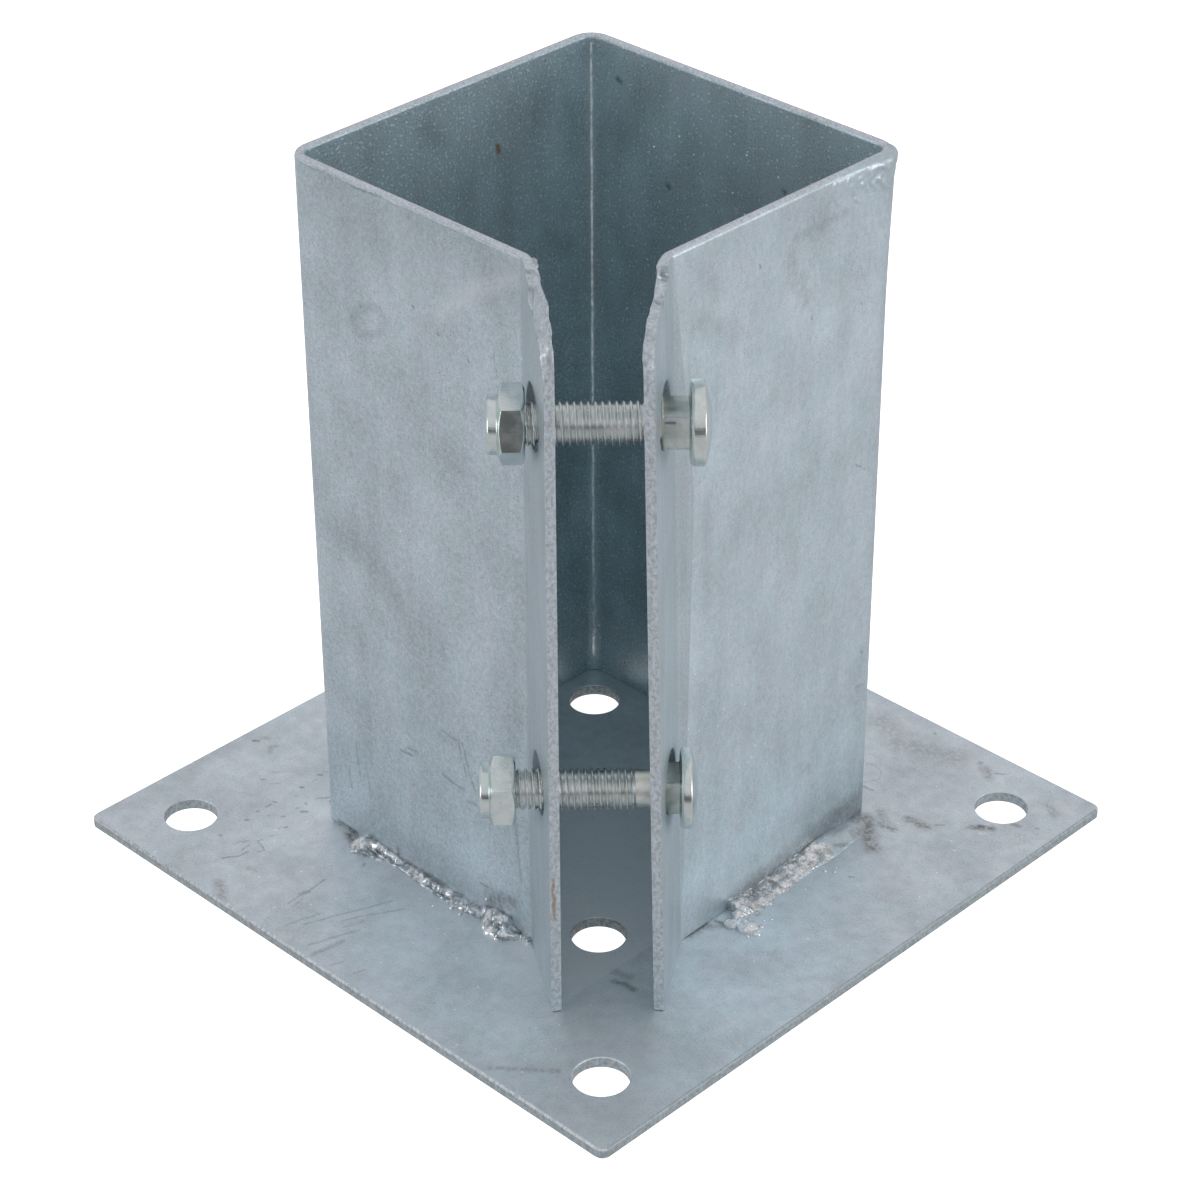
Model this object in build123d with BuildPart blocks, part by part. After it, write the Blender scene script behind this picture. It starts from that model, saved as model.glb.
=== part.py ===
"""Bolt-down post base with a clamping socket for a square timber post.

A square plate carries a socket folded from one sheet.  The sheet is open at one
corner, where its two ends turn outward as clamp flanges.  Two carriage bolts
cross the flanges, and fillet welds hold the socket to the plate.

Millimetres, +Z up, origin at the middle of the plate's underside.  The plate's
sides lie along X and Y, and the open corner points towards +X, -Y.  Sketches of
the socket use the diagonal directions: "across" runs from one clamp flange to
the other, and "inward" runs from the open corner to the opposite one.
"""

import os
from math import cos, radians, sin, sqrt, tan

from build123d import *

# Base plate
plate_side = 150.0
plate_thickness = 2.5
plate_corner_radius = 2.0
plate_edge_chamfer = 0.4
anchor_hole_diameter = 11.0
outer_hole_margin = 15.0
inner_hole_margin = 9.2

# Folded socket
post_room = 77.4
sheet_thickness = 2.0
corner_bend_radius = 3.0
socket_height = 151.5

# Clamp flanges at the open corner, the right one leaning outward at its foot
slot_width = 14.8
slot_foot_spread = 3.0
flange_toe_in = 10.0
flange_bend_radius = 1.6
flange_length = 22.1

# Sheared top corners of the flanges: (back from the flange end, below the rim)
left_shear_inside = [(11.6, 0.0), (4.8, 1.4), (1.3, 8.6), (-0.2, 14.0)]
left_shear_outside = [(16.0, 0.9), (8.4, 8.0), (3.0, 10.2), (-0.2, 12.6)]
right_shear_inside = [(16.0, 0.6), (14.9, 4.2), (3.7, 4.8), (-0.2, 12.2)]
right_shear_outside = [(17.0, 2.4), (13.4, 4.8), (3.9, 5.4), (-0.2, 9.6)]
shear_inside_depth = 1.0
shear_outside_depth = 3.8
cutter_reach = 6.0

# Bolt holes in the flanges
bolt_setback = 11.6
lower_bolt_above_plate = 45.95
upper_bolt_below_rim = 26.6
neck_play = 2.4
seat_clearance = 0.04

# Carriage bolts
thread_diameter = 7.9
shank_reduction = 0.8
bolt_length = 35.0
neck_width = 7.7
neck_corner_radius = 1.2
neck_length = 5.6
plain_shank_length = 2.6
head_diameter = 15.6
head_rim_height = 2.2
head_rim_chamfer = 0.6
head_dome_height = 1.2
bolt_point_chamfer = 0.8

# Loose fit of the bolts: gaps from each flange's outer face, and turns
upper_head_standoff = 4.9
upper_neck_turn = -2.0
lower_head_standoff = 1.8
lower_neck_turn = 2.0
upper_nut_standoff = 1.3
upper_nut_turn = 47.0
lower_nut_standoff = 4.2
lower_nut_turn = 32.0

# Lock nuts with a nylon insert
nut_across_flats = 13.0
nut_hex_height = 4.9
nut_face_inset = 0.2
nut_chamfer_angle = 28.0
nut_shoulder_step = 0.1
nut_shoulder_angle = 30.0
nut_bore_clearance = 0.05
nut_collar_height = 1.9
nut_collar_wall = 0.7
nut_collar_chamfer = 0.7
nut_collar_lip = 0.5
insert_wall = 0.75
insert_clearance = 0.05

# Fillet welds along the foot of the socket, from a side corner towards the next bend
weld_leg = 4.0
weld_clearance = 0.02
front_left_margins = (9.7, 17.5)
front_left_lump = (7.5, 5.4)
front_right_margins = (5.5, 15.0)
front_right_lump = (-4.0, 5.6)
back_margins = (13.0, 13.0)

# Values worked out from the sizes above
across = Vector(1, 1, 0).normalized()
inward = Vector(-1, 1, 0).normalized()
up = Vector(0, 0, 1)
rim_height = plate_thickness + socket_height
lower_bolt_z = plate_thickness + lower_bolt_above_plate
upper_bolt_z = rim_height - upper_bolt_below_rim
toe_in = radians(flange_toe_in)
half_diagonal = (post_room + sheet_thickness) / 2 * sqrt(2)
flange_end_across = slot_width / 2 + sheet_thickness / 2 * cos(toe_in)
flange_bend_across = flange_end_across + flange_length * sin(toe_in)
flange_bend_inward = flange_bend_across - half_diagonal
flange_end_inward = flange_bend_inward - flange_length * cos(toe_in)
bolt_inward = flange_end_inward + bolt_setback
neck_corner_reach = (neck_width / 2 - neck_corner_radius) * sqrt(2)
clamp_hole_radius = neck_corner_reach + neck_corner_radius + neck_play / 2
nut_bore_radius = thread_diameter / 2 + nut_bore_clearance
nut_collar_radius = nut_bore_radius + insert_wall + insert_clearance + nut_collar_wall


def diagonal_plane(height):
    """Level plane whose X runs across the slot and whose Y runs inward."""
    return Plane(origin=(0, 0, height), x_dir=across, z_dir=(0, 0, 1))


def along_diagonals(place_across, place_inward, height):
    """Point given by its places on the two diagonals and its height."""
    return across * place_across + inward * place_inward + up * height


def sheet_corners(right_spread):
    """Corners of the sheet's middle line, from the left flange round to the right one."""
    return [
        (-flange_end_across, flange_end_inward),
        (-flange_bend_across, flange_bend_inward),
        (-half_diagonal, 0),
        (0, half_diagonal),
        (half_diagonal, 0),
        (flange_bend_across + right_spread, flange_bend_inward),
        (flange_end_across + right_spread, flange_end_inward),
    ]


def flange_face(height, side):
    """How far from the slot's middle a flange's outer face lies at a bolt's height."""
    leaning = slot_foot_spread * (rim_height - height) / socket_height if side > 0 else 0
    middle = flange_end_across + bolt_setback * tan(toe_in) + leaning
    return middle + sheet_thickness / 2 / cos(toe_in)


def shear_cutter(side, inside, outside):
    """Slanted cutter that takes the top corner off one flange; side is -1 left, +1 right."""
    near = slot_width / 2 + shear_inside_depth
    far = slot_width / 2 + shear_outside_depth
    places = [near - cutter_reach, near, far, far + cutter_reach]
    above = rim_height + cutter_reach
    past = flange_end_inward - cutter_reach
    with BuildPart() as cutter:
        for place, profile in zip(places, [inside, inside, outside, outside]):
            cut = [(flange_end_inward + back, rim_height - drop) for back, drop in profile]
            outline = [*cut, (past, cut[-1][1]), (past, above), (cut[0][0], above)]
            with BuildSketch(Plane(across * side * place, x_dir=inward, z_dir=across)):
                Polygon(*outline, align=None)
        loft(ruled=True)
    return cutter.part


def bolt_drop(neck_turn):
    """How far a bolt's axis lies below its hole's when its square neck rests in the hole."""
    off_plumb = radians(45 - neck_turn % 90)
    room = clamp_hole_radius - seat_clearance - neck_corner_radius
    sideways = neck_corner_reach * sin(off_plumb)
    return sqrt(room**2 - sideways**2) - neck_corner_reach * cos(off_plumb)


def axial_plane(seat):
    """Plane through a fastener's axis: X runs outward from the axis, Y along it."""
    return Plane(origin=seat.origin, x_dir=seat.x_dir, z_dir=-seat.y_dir)


def carriage_bolt(seat, neck_turn):
    """Round-headed bolt with a square neck; the seat plane faces its head."""
    axis = Axis(seat.origin, seat.z_dir)
    rim = head_diameter / 2
    crown = rim - head_rim_chamfer
    top = head_rim_height + head_dome_height
    cap_radius = (crown**2 + head_dome_height**2) / (2 * head_dome_height)
    halfway = top - cap_radius + sqrt(cap_radius**2 - (crown / 2) ** 2)
    shoulder = neck_length + plain_shank_length
    with BuildPart() as bolt:
        with BuildSketch(axial_plane(seat)):
            with BuildLine():
                Polyline(
                    (0, top),
                    (0, 0),
                    (crown, 0),
                    (rim, head_rim_chamfer),
                    (rim, head_rim_height - head_rim_chamfer),
                    (crown, head_rim_height),
                )
                ThreePointArc((crown, head_rim_height), (crown / 2, halfway), (0, top))
            make_face()
        revolve(axis=axis)
        with BuildSketch(seat):
            RectangleRounded(neck_width, neck_width, neck_corner_radius, rotation=neck_turn)
        extrude(amount=-neck_length)
        with BuildSketch(seat.offset(-neck_length)):
            Circle((thread_diameter - shank_reduction) / 2)
        extrude(amount=-plain_shank_length)
        with BuildSketch(seat.offset(-shoulder)):
            Circle(thread_diameter / 2)
        extrude(amount=shoulder - bolt_length)
        point = bolt.faces().sort_by(axis)[0]
        chamfer(point.edges(), bolt_point_chamfer)
    return bolt.part


def lock_nut(seat, turn):
    """Hexagon lock nut; the seat plane is its bearing face and looks towards its collar."""
    axis = Axis(seat.origin, seat.z_dir)
    corner = nut_across_flats / sqrt(3)
    face = nut_across_flats / 2 - nut_face_inset
    bevel = (corner - face) * tan(radians(nut_chamfer_angle))
    shoulder = nut_collar_radius + nut_shoulder_step
    shoulder_bevel = (corner - shoulder) * tan(radians(nut_shoulder_angle))
    top = nut_hex_height + nut_collar_height
    collar_mouth = nut_collar_radius - nut_collar_wall - nut_collar_lip
    with BuildPart() as nut:
        with BuildSketch(seat):
            RegularPolygon(nut_across_flats / 2, 6, major_radius=False, rotation=turn)
        extrude(amount=nut_hex_height)
        with BuildSketch(axial_plane(seat)):
            Polygon(
                (0, 0),
                (face, 0),
                (corner, bevel),
                (corner, nut_hex_height - shoulder_bevel),
                (shoulder, nut_hex_height),
                (0, nut_hex_height),
                align=None,
            )
        revolve(axis=axis, mode=Mode.INTERSECT)
        with BuildSketch(seat.offset(nut_hex_height)):
            Circle(nut_collar_radius)
        extrude(amount=nut_collar_height)
        chamfer(nut.faces().sort_by(axis)[-1].edges(), nut_collar_chamfer)
        with BuildSketch(seat.offset(nut_hex_height)):
            Circle(nut_collar_radius - nut_collar_wall)
        extrude(amount=nut_collar_height - nut_collar_lip, mode=Mode.SUBTRACT)
        with BuildSketch(seat):
            Circle(nut_bore_radius)
        extrude(amount=top, mode=Mode.SUBTRACT)
        with BuildSketch(seat.offset(top - nut_collar_lip)):
            Circle(collar_mouth)
        extrude(amount=nut_collar_lip, mode=Mode.SUBTRACT)
    return nut.part


def insert_ring(seat):
    """Nylon ring held in the collar of a lock nut."""
    ring_height = nut_collar_height - nut_collar_lip - 2 * insert_clearance
    with BuildPart() as ring:
        with BuildSketch(seat.offset(nut_hex_height + insert_clearance)):
            Circle(nut_bore_radius + insert_wall)
            Circle(nut_bore_radius, mode=Mode.SUBTRACT)
        extrude(amount=ring_height)
    return ring.part


def foot_line(start, finish):
    """Outer edge of a wall's foot, from two corners of the sheet's middle line."""
    start = along_diagonals(*start, plate_thickness)
    finish = along_diagonals(*finish, plate_thickness)
    outward = (finish - start).cross(up).normalized()
    outward = outward if outward.dot(start + finish) > 0 else -outward
    clear_of_wall = outward * (sheet_thickness / 2 + weld_clearance)
    return start + clear_of_wall, finish + clear_of_wall, outward


def fillet_section(plane, leg):
    """Full fillet section: its corner at the plane's origin, legs along X and Y."""
    with BuildSketch(plane) as section:
        with BuildLine():
            Polyline((0, leg), (0, 0), (leg, 0))
            CenterArc((0, 0), leg, 0, 90)
        make_face()
    return section.sketch


def weld_bead(corners, margins, lump=None):
    """Fillet weld along a wall's foot, stopping short of both corners by the margins.

    lump is a thick spot: how far past the bead's end it lies, and its size.
    """
    start, finish, outward = foot_line(*corners)
    along = (finish - start).normalized()
    first = start + along * margins[0] + up * weld_clearance
    last = finish - along * margins[1] + up * weld_clearance
    spots = [(first, weld_leg), (last, weld_leg)]
    if lump:
        past_end, size = lump
        spots.append((last + along * past_end, size))
    with BuildPart() as bead:
        end_on = Plane(first, x_dir=outward, z_dir=outward.cross(up))
        extrude(fillet_section(end_on, weld_leg), (last - first).length, dir=along)
        for centre, size in spots:
            side_on = Plane(centre, x_dir=outward.cross(up), z_dir=-outward)
            revolve(fillet_section(side_on, size), Axis(centre, up), 180)
    return bead.part


os.makedirs("parts", exist_ok=True)

outer_hole_spacing = plate_side - 2 * outer_hole_margin
inner_hole_spacing = post_room - 2 * inner_hole_margin
with BuildPart() as base_plate:
    with BuildSketch():
        RectangleRounded(plate_side, plate_side, plate_corner_radius)
        with GridLocations(outer_hole_spacing, outer_hole_spacing, 2, 2):
            Circle(anchor_hole_diameter / 2, mode=Mode.SUBTRACT)
        with GridLocations(inner_hole_spacing, inner_hole_spacing, 2, 2):
            Circle(anchor_hole_diameter / 2, mode=Mode.SUBTRACT)
    extrude(amount=plate_thickness)
    bottom_face, *_, top_face = faces().sort_by(Axis.Z)
    chamfer(top_face.outer_wire().edges() + bottom_face.outer_wire().edges(), plate_edge_chamfer)
base_plate.part.label = "base_plate"
export_step(base_plate.part, "parts/base_plate.step")

flange_bend = flange_bend_radius + sheet_thickness / 2
corner_bend = corner_bend_radius + sheet_thickness / 2
bend_radii = [flange_bend, corner_bend, corner_bend, corner_bend, flange_bend]
with BuildPart() as post_socket:
    for height, spread in ((plate_thickness, slot_foot_spread), (rim_height, 0)):
        with BuildSketch(diagonal_plane(height)):
            with BuildLine():
                FilletPolyline(*sheet_corners(spread), radius=bend_radii)
            trace(line_width=sheet_thickness)
    loft(ruled=True)
    for height in (lower_bolt_z, upper_bolt_z):
        hole_centre = along_diagonals(0, bolt_inward, height)
        with BuildSketch(Plane(hole_centre, x_dir=inward, z_dir=across)):
            Circle(clamp_hole_radius)
        extrude(amount=flange_face(height, 1) + cutter_reach, both=True, mode=Mode.SUBTRACT)
    add(shear_cutter(-1, left_shear_inside, left_shear_outside), mode=Mode.SUBTRACT)
    add(shear_cutter(1, right_shear_inside, right_shear_outside), mode=Mode.SUBTRACT)
post_socket.part.label = "post_socket"
export_step(post_socket.part, "parts/post_socket.step")

_, left_bend, left_corner, back_corner, right_corner, right_bend, _ = sheet_corners(slot_foot_spread)
beads = {
    "front_left": ((left_corner, left_bend), front_left_margins, front_left_lump),
    "front_right": ((right_corner, right_bend), front_right_margins, front_right_lump),
    "back_left": ((left_corner, back_corner), back_margins),
    "back_right": ((right_corner, back_corner), back_margins),
}
for place, layout in beads.items():
    bead = weld_bead(*layout)
    bead.label = f"weld_bead_{place}"
    export_step(bead, f"parts/weld_bead_{place}.step")

bolts = {
    "upper": (upper_bolt_z, upper_head_standoff, upper_neck_turn),
    "lower": (lower_bolt_z, lower_head_standoff, lower_neck_turn),
}
nuts = {"upper": (upper_nut_standoff, upper_nut_turn), "lower": (lower_nut_standoff, lower_nut_turn)}
for level, (hole_z, head_standoff, neck_turn) in bolts.items():
    nut_standoff, nut_turn = nuts[level]
    axis_z = hole_z - bolt_drop(neck_turn)
    head_place = flange_face(hole_z, 1) + head_standoff
    nut_place = -flange_face(hole_z, -1) - nut_standoff
    head_seat = Plane(along_diagonals(head_place, bolt_inward, axis_z), x_dir=inward, z_dir=across)
    nut_seat = Plane(along_diagonals(nut_place, bolt_inward, axis_z), x_dir=-inward, z_dir=-across)
    fasteners = {
        "carriage_bolt": carriage_bolt(head_seat, neck_turn),
        "lock_nut": lock_nut(nut_seat, nut_turn),
        "nut_insert": insert_ring(nut_seat),
    }
    for kind, fastener in fasteners.items():
        fastener.label = f"{level}_{kind}"
        export_step(fastener, f"parts/{level}_{kind}.step")
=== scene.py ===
"""Looks of a bolt-down post base: galvanised sheet, rough welds and bright zinc fasteners.

Lengths and places are named in millimetres, and MM turns them into Blender's metres.
"Across" runs from the left clamp flange to the right one, "inward" from the open
corner of the socket to the opposite one.
"""

import random
from collections import namedtuple
from math import cos, exp, hypot, log1p, pi, radians, sin, sqrt, tan

import bmesh
import bpy
from mathutils import Matrix, Vector, noise


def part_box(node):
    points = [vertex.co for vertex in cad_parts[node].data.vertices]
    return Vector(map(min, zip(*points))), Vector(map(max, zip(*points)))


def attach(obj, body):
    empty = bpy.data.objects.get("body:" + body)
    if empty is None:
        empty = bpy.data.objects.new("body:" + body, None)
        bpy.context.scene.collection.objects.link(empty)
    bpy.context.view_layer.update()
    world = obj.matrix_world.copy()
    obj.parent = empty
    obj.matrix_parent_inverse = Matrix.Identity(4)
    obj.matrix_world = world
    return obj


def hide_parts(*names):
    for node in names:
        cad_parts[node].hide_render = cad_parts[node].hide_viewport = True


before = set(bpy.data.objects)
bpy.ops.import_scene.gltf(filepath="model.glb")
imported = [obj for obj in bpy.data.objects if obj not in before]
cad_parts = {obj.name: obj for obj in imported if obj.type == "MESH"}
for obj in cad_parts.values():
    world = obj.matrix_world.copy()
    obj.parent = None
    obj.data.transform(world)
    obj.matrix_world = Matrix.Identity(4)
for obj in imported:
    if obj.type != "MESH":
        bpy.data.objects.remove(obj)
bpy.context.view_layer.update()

MM = 0.001
ACROSS = Vector((1, 1, 0)).normalized()
INWARD = Vector((-1, 1, 0)).normalized()
UP = Vector((0, 0, 1))

# The vector noise would start from the clock, so its seed is set
noise_seed = 3
noise.seed_set(noise_seed)

# Sizes shared with the CAD model
sheet_thickness = 2.0
post_room = 77.4
corner_bend_radius = 3.0
slot_width = 14.8
slot_foot_spread = 3.0
flange_toe_in = 10.0
flange_length = 22.1
head_diameter = 15.6
head_rim_heights = {"upper": 2.8, "lower": 2.2}
head_dome_height = 1.2
neck_width = 7.7
neck_corner_radius = 1.2
neck_lengths = {"upper": 5.0, "lower": 5.6}
plain_shank_length = 2.6
thread_diameter = 7.9
shank_diameter = 7.1
bolt_lengths = {"upper": 34.4, "lower": 35.0}
neck_turns = {"upper": -2.0, "lower": 2.0}
nut_across_flats = 13.0
nut_hex_height = 4.9
nut_collar_height = 1.9
nut_collar_radius = 5.5
nut_mouth_radius = 4.3
nut_recess_radius = 4.8
nut_bore_radius = 4.0
nut_lip = 0.5
nut_chamfer_angle = 28.0
nut_face_inset = 0.2
nut_turns = {"upper": 47.0, "lower": 32.0}
nut_shoulder_step = 0.1
nut_shoulder_angle = 23.0

# Finish of the sheet metal
rim_rounding = 0.95
edge_rounding = 0.32
plate_rounding = 0.35
shear_depth = 14.8
shear_length = 18.5
tear_step = 0.5
tear_depth = 0.3
# How far the middle of a face may lie behind the outer face that it counts with
face_margin = 0.3

# Thread and turned forms
thread_pitch = 1.25
thread_depth = 0.64
ring_points = 72
head_seat_rounding = 0.9
head_crown_rounding = 0.45
# Shares of a turn taken by the root and a flank, turns over which the thread grows, end's chamfer
thread_root = 0.12
thread_flank = 0.68
thread_runout = 0.8
bolt_point_chamfer = 0.8
# Shares of the crown's radius at which the dome has its rings
dome_rings = (0.03, 0.2, 0.4, 0.6, 0.8, 0.92)
nut_bore_chamfer = 0.4
nut_edge_softness = 0.07
nut_side_points = 14
# Rings on the nut's two bevels, and how far past each bevel they go
seat_steps = 9
shoulder_steps = 12
bevel_margin = 1.15

# Weld beads: steps of travel and millimetres for each leg, steps of travel and share for the
# grit, and sizes and heights of the roughness. A ridge has its points, as travel and share of
# the way from the plate's toe to the wall's, then its width and height
bead_step = 0.2
bead_arc_steps = 24
bead_sunk = 0.15
wet_roughness = ((2.6, 0.28), (0.9, 0.10))
dry_roughness = ((1.8, 0.30), (0.7, 0.26), (0.4, 0.10))
left_out = (
    (0, 3.6), (2.4, 4.2), (7, 2.8), (10.6, 1.9), (15.4, 1.5), (21.5, 2.0), (25.8, 2.6), (30.5, 2.7),
    (34, 2.1), (37.5, 2.0), (39.5, 2.8), (43, 3.6), (45.2, 3.7), (47, 2.2), (48, 0.9), (51, 0.7),
)
left_up = (
    (0, 1.7), (6.3, 1.5), (10.9, 1.0), (16, 0.8), (31, 0.9), (35.7, 1.3), (38, 1.9), (41, 3.0),
    (44, 2.9), (46.5, 1.8), (48, 0.7), (51, 0.5),
)
left_grit = ((0, 1.0), (33, 1.0), (34.5, 0.3), (37, 0.3), (38, 1.2))
right_out = ((0, 2.5), (5, 4.6), (14, 5.0), (19.8, 4.7), (32.5, 5.0), (37.5, 5.4), (43, 4.2))
right_up = (
    (0, 0.8), (6.3, 1.5), (12.7, 2.0), (18.3, 1.6), (24.7, 1.5), (30, 1.0), (36, 1.1), (43, 2.2),
)
right_grit = ((0, 0.25), (14, 0.3), (19, 1.0))
back_leg = ((0, 3.4), (60, 3.4))
back_grit = ((0, 1.0), (60, 1.0))
# Travel at which the right bead's smooth skin ends, and how far and finely its border wanders
right_skin = 15.0
no_skin = -9.0
skin_wander = 7.0
skin_size = 1.3
left_ridges = (
    (2.4, 0.9, 6, 0.9, 9.2, 0.75, 11.8, 0.8, 0.7, 0.5), (3.2, 0.7, 4.8, 0.4, 0.9, 0.3),
    (2.2, 0, 4.2, 0.2, 6.8, 0, 11, 0.1, 13.6, 0.25, 0.5, 0.4), (2.4, 0.05, 0.4, 0.4),
    (4, 0.25, 0.4, 0.4), (5.2, 0.15, 0.4, 0.4), (6.4, 0.05, 0.35, 0.35), (8.2, 0, 0.4, 0.4),
    (5.0, 0.58, 10.6, 0.32, 0.85, -1.0), (11.4, 0.35, 13.4, 0.45, 0.6, -0.3),
    (14.2, 0.85, 24.6, 0.85, 0.9, 0.25), (15.2, 0.9, 0.7, 0.25), (17, 0.8, 0.6, 0.2),
    (19, 0.75, 0.7, 0.3), (21.2, 0.65, 0.6, 0.3), (23, 0.65, 0.6, 0.25), (24.8, 0.65, 0.6, 0.25),
    (14, 0.2, 17.4, 0, 20.6, 0, 26.4, 0.3, 0.5, 0.4), (21.6, 0.3, 25, 0.5, 0.5, -0.5),
    (26.6, 0.55, 28.6, 0.6, 0.5, -0.45), (24.8, 0.8, 29.2, 0.8, 0.8, 0.3), (30, 0.75, 0.7, 0.45),
    (31.2, 0.6, 0.6, 0.35), (31.2, 0.65, 0.3, -0.3), (30.6, 0.1, 0.5, 0.5), (33.8, 0.5, 0.5, 0.5),
    (33.8, 0, 0.6, 0.45), (33.2, 0.35, 0.4, -0.4), (32.6, 0.95, 0.4, -0.35), (38.4, 0.9, 1.8, 0.9),
    (38.4, 0.65, 0.4, -0.4), (40.8, 0.7, 0.4, -0.4), (41.4, 0.5, 0.45, -0.4), (41.4, 1, 0.6, -0.3),
    (41, 1, 44.6, 0.9, 0.6, 0.6), (44.4, 0.9, 0.4, 0.35), (41, 0, 44.2, 0.1, 1.2, 0.7),
    (43.8, 0.5, 0.6, -0.9), (42.4, 0.5, 0.5, 0.4), (44.4, 0.65, 0.5, 0.4), (44.6, 0.35, 0.5, 0.4),
    (46.6, 0.7, 47.4, 0.9, 0.8, -0.5), (47.6, 0.75, 49.8, 0.6, 0.4, 0.3), (50.2, 1, 0.6, 0.5),
)
right_ridges = (
    (43, 0.6, 1, 0.6), (40.6, 0.7, 0.7, 0.45), (40.8, 0.4, 0.8, 0.45), (38.6, 0.6, 0.8, 0.5),
    (39.2, 0, 0.9, 0.3), (41.6, 0.55, 0.4, -0.3), (41.2, 0, 0.45, -0.5), (44, 0.2, 0.9, 0.5),
    (43, 0, 0.8, 0.4), (35, 0.6, 0.8, 0.4), (6.2, 0.55, 16.6, 0.9, 1.3, 0.35),
)

# Drops of zinc beside the welds: places on the face, three sizes, and fineness on the plate
plate_drops = (
    (49.0, -7.4, (2.6, 2.2, 1.6), 4), (46.4, -8.8, (1.8, 1.6, 1.1), 3),
    (45.6, -6.2, (1.5, 1.6, 1.6), 3), (51.2, -7.4, (1.6, 1.3, 0.7), 3),
    (46.3, -0.3, (0.45, 0.45, 0.4), 2), (47.3, 1.6, (0.4, 0.4, 0.35), 2),
    (50.9, -1.9, (0.25, 0.5, 0.2), 2), (51.0, -5.1, (0.5, 0.5, 0.3), 2),
    (50.1, -3.3, (0.25, 0.25, 0.2), 1), (51.2, -9.4, (0.4, 0.4, 0.35), 2),
    (48.1, 17.6, (0.35, 0.35, 0.3), 2), (49.6, 18.7, (0.35, 0.35, 0.3), 2),
    (-0.9, -46.1, (0.4, 0.4, 0.3), 2), (2.2, -44.0, (0.5, 0.5, 0.4), 2),
    (5.0, -44.2, (0.5, 0.5, 0.4), 2), (13.4, -44.2, (1.5, 1.0, 1.1), 3),
    (15.6, -44.3, (1.1, 0.9, 0.9), 3), (11.6, -43.6, (0.8, 0.7, 0.7), 3),
    (12.8, -42.0, (0.8, 0.7, 2.2), 3),
)
left_wall_drops = ((9.1, 6.5, (0.55, 0.4, 0.55)),)
right_wall_drops = (
    (0.1, 6.1, (0.3, 0.4, 0.4)), (5.3, 22.0, (0.2, 0.25, 0.25)), (10.9, 12.7, (0.2, 0.25, 0.25)),
    (5.4, 15.5, (0.2, 0.2, 0.2)), (7.9, 32.9, (0.15, 0.2, 0.5)), (29.9, 23.7, (0.15, 0.2, 0.3)),
    (33.0, 27.5, (0.15, 0.2, 0.3)), (-8.5, 36.1, (0.15, 0.2, 0.2)),
)
# Burrs on the sheared corners: across, inward, height and sizes
shear_burrs = (
    (-11.1, -44.6, 152.7, (0.95, 0.95, 0.85)), (-10.9, -46.0, 152.5, (0.9, 0.9, 0.8)),
    (-10.9, -47.5, 152.4, (0.85, 0.85, 0.7)), (-10.9, -49.0, 152.4, (0.7, 0.8, 0.6)),
    (12.1, -46.6, 152.6, (0.8, 0.8, 0.7)), (11.9, -48.2, 152.3, (0.7, 0.8, 0.6)),
)

# Thread of zinc down the back corner
seam_rings = 300
seam_above_plate = 4.0
seam_below_rim = 1.5
seam_width = 0.24
seam_height = 0.1
seam_lumps = 0.03
seam_drift = 0.12
# Its outline: shares of its width aside and of its height out from the corner
seam_outline = ((-1, 0), (-0.9, 1), (0.9, 1), (1, 0), (0, -4))

# Thick zinc round the right corner under the rim: how far it reaches along the wall, round
# the corner and down, its grid, how far it stands out and over what heights that fades
lip_reach = 18.0
lip_wrap = 6.6
lip_bottom = 122.0
lip_step = 0.33
lip_swell = 0.4
lip_fade = 3.0
lip_corner_swell = 0.55
lip_corner_fade = 18.0
lip_waves = 0.3
lip_wave_fade = 4.5
lip_crown = 1.25
lip_sunk = 0.12
# Wrinkles on it: places along the wall and heights, then width and how far they stand out
lip_wrinkles = (
    (-14.5, 152.8, -14.9, 150.4, -13.4, 148.2, 0.4, 0.25), (-10.9, 152.4, -11.3, 151.0, 0.4, 0.2),
    (-7.1, 150.4, -5.5, 148.5, 0.36, 0.28), (-4.8, 150.2, -3.3, 148.2, 0.36, 0.28),
    (-2.5, 149.9, -0.4, 147.6, 0.36, 0.28), (-8.6, 147.8, -7.1, 146.4, 0.36, 0.2),
    (-0.6, 151.6, -2.2, 152.6, 0.5, 0.25), (-9.5, 149.8, -8.7, 148.9, 0.34, 0.2),
)

# Photograph's camera: its place on the diagonals, and how it is aimed
camera_place = (-4.607, -566.651, 413.835)
camera_pitch = 0.5647
camera_yaw = 0.0097
camera_roll = -0.0033
camera_lens = 100.06
camera_sensor = 36.0
camera_reach = 20.0

# Spread of the marks, how far and how finely their borders wander, their tones,
# and the drift of the zinc's own tone
mark_spread = 1.2
wobble_reach = 0.8
wobble_size = 2.0
# Dark tone of marks and pits; it also paints shadow lines at the right wall's foot and the right bead's
# end
mark_and_painted_shadow_tone = (0.13, 0.15, 0.17, 1)
stain_tone = (0.17, 0.15, 0.125, 1)
# Pale tone of smears; it also paints the highlight on the upper neck and a pool of light on the plate
# inside the socket
smear_and_painted_light_tone = (0.86, 0.89, 0.92, 1)
rust_tone = (0.42, 0.24, 0.12, 1)
dirt_tone = (0.3, 0.31, 0.31, 1)
pore_tone = (0.07, 0.07, 0.07, 1)
cool_shift = (0.988, 1.004, 1.0)
warm_shift = (1.015, 0.995, 1.008)

# Soft dome of light: its brightness straight below, level with the part and straight above
dome_brightness = (0.54, 0.54, 0.68)
dome_tint = (0.99, 0.97, 1.0)
# Darker band of the room behind the camera: its brightness and height, the distances from
# that height between which it fades, and how far round from straight behind it reaches
room_brightness = 0.12
room_height = 0.06
room_fade = (0.08, 0.24)
room_spread = (0.35, 0.8)
# Soft light on each side: its place on the diagonals and its power
side_lights = {"left_side": ((-1100, -500, 240), 2), "right_side": ((1100, -400, 240), 3)}
light_size = 0.6
light_aim = Vector((0, 0, 0.07))
floor_half = 4.0
floor_height = -0.0002

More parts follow.
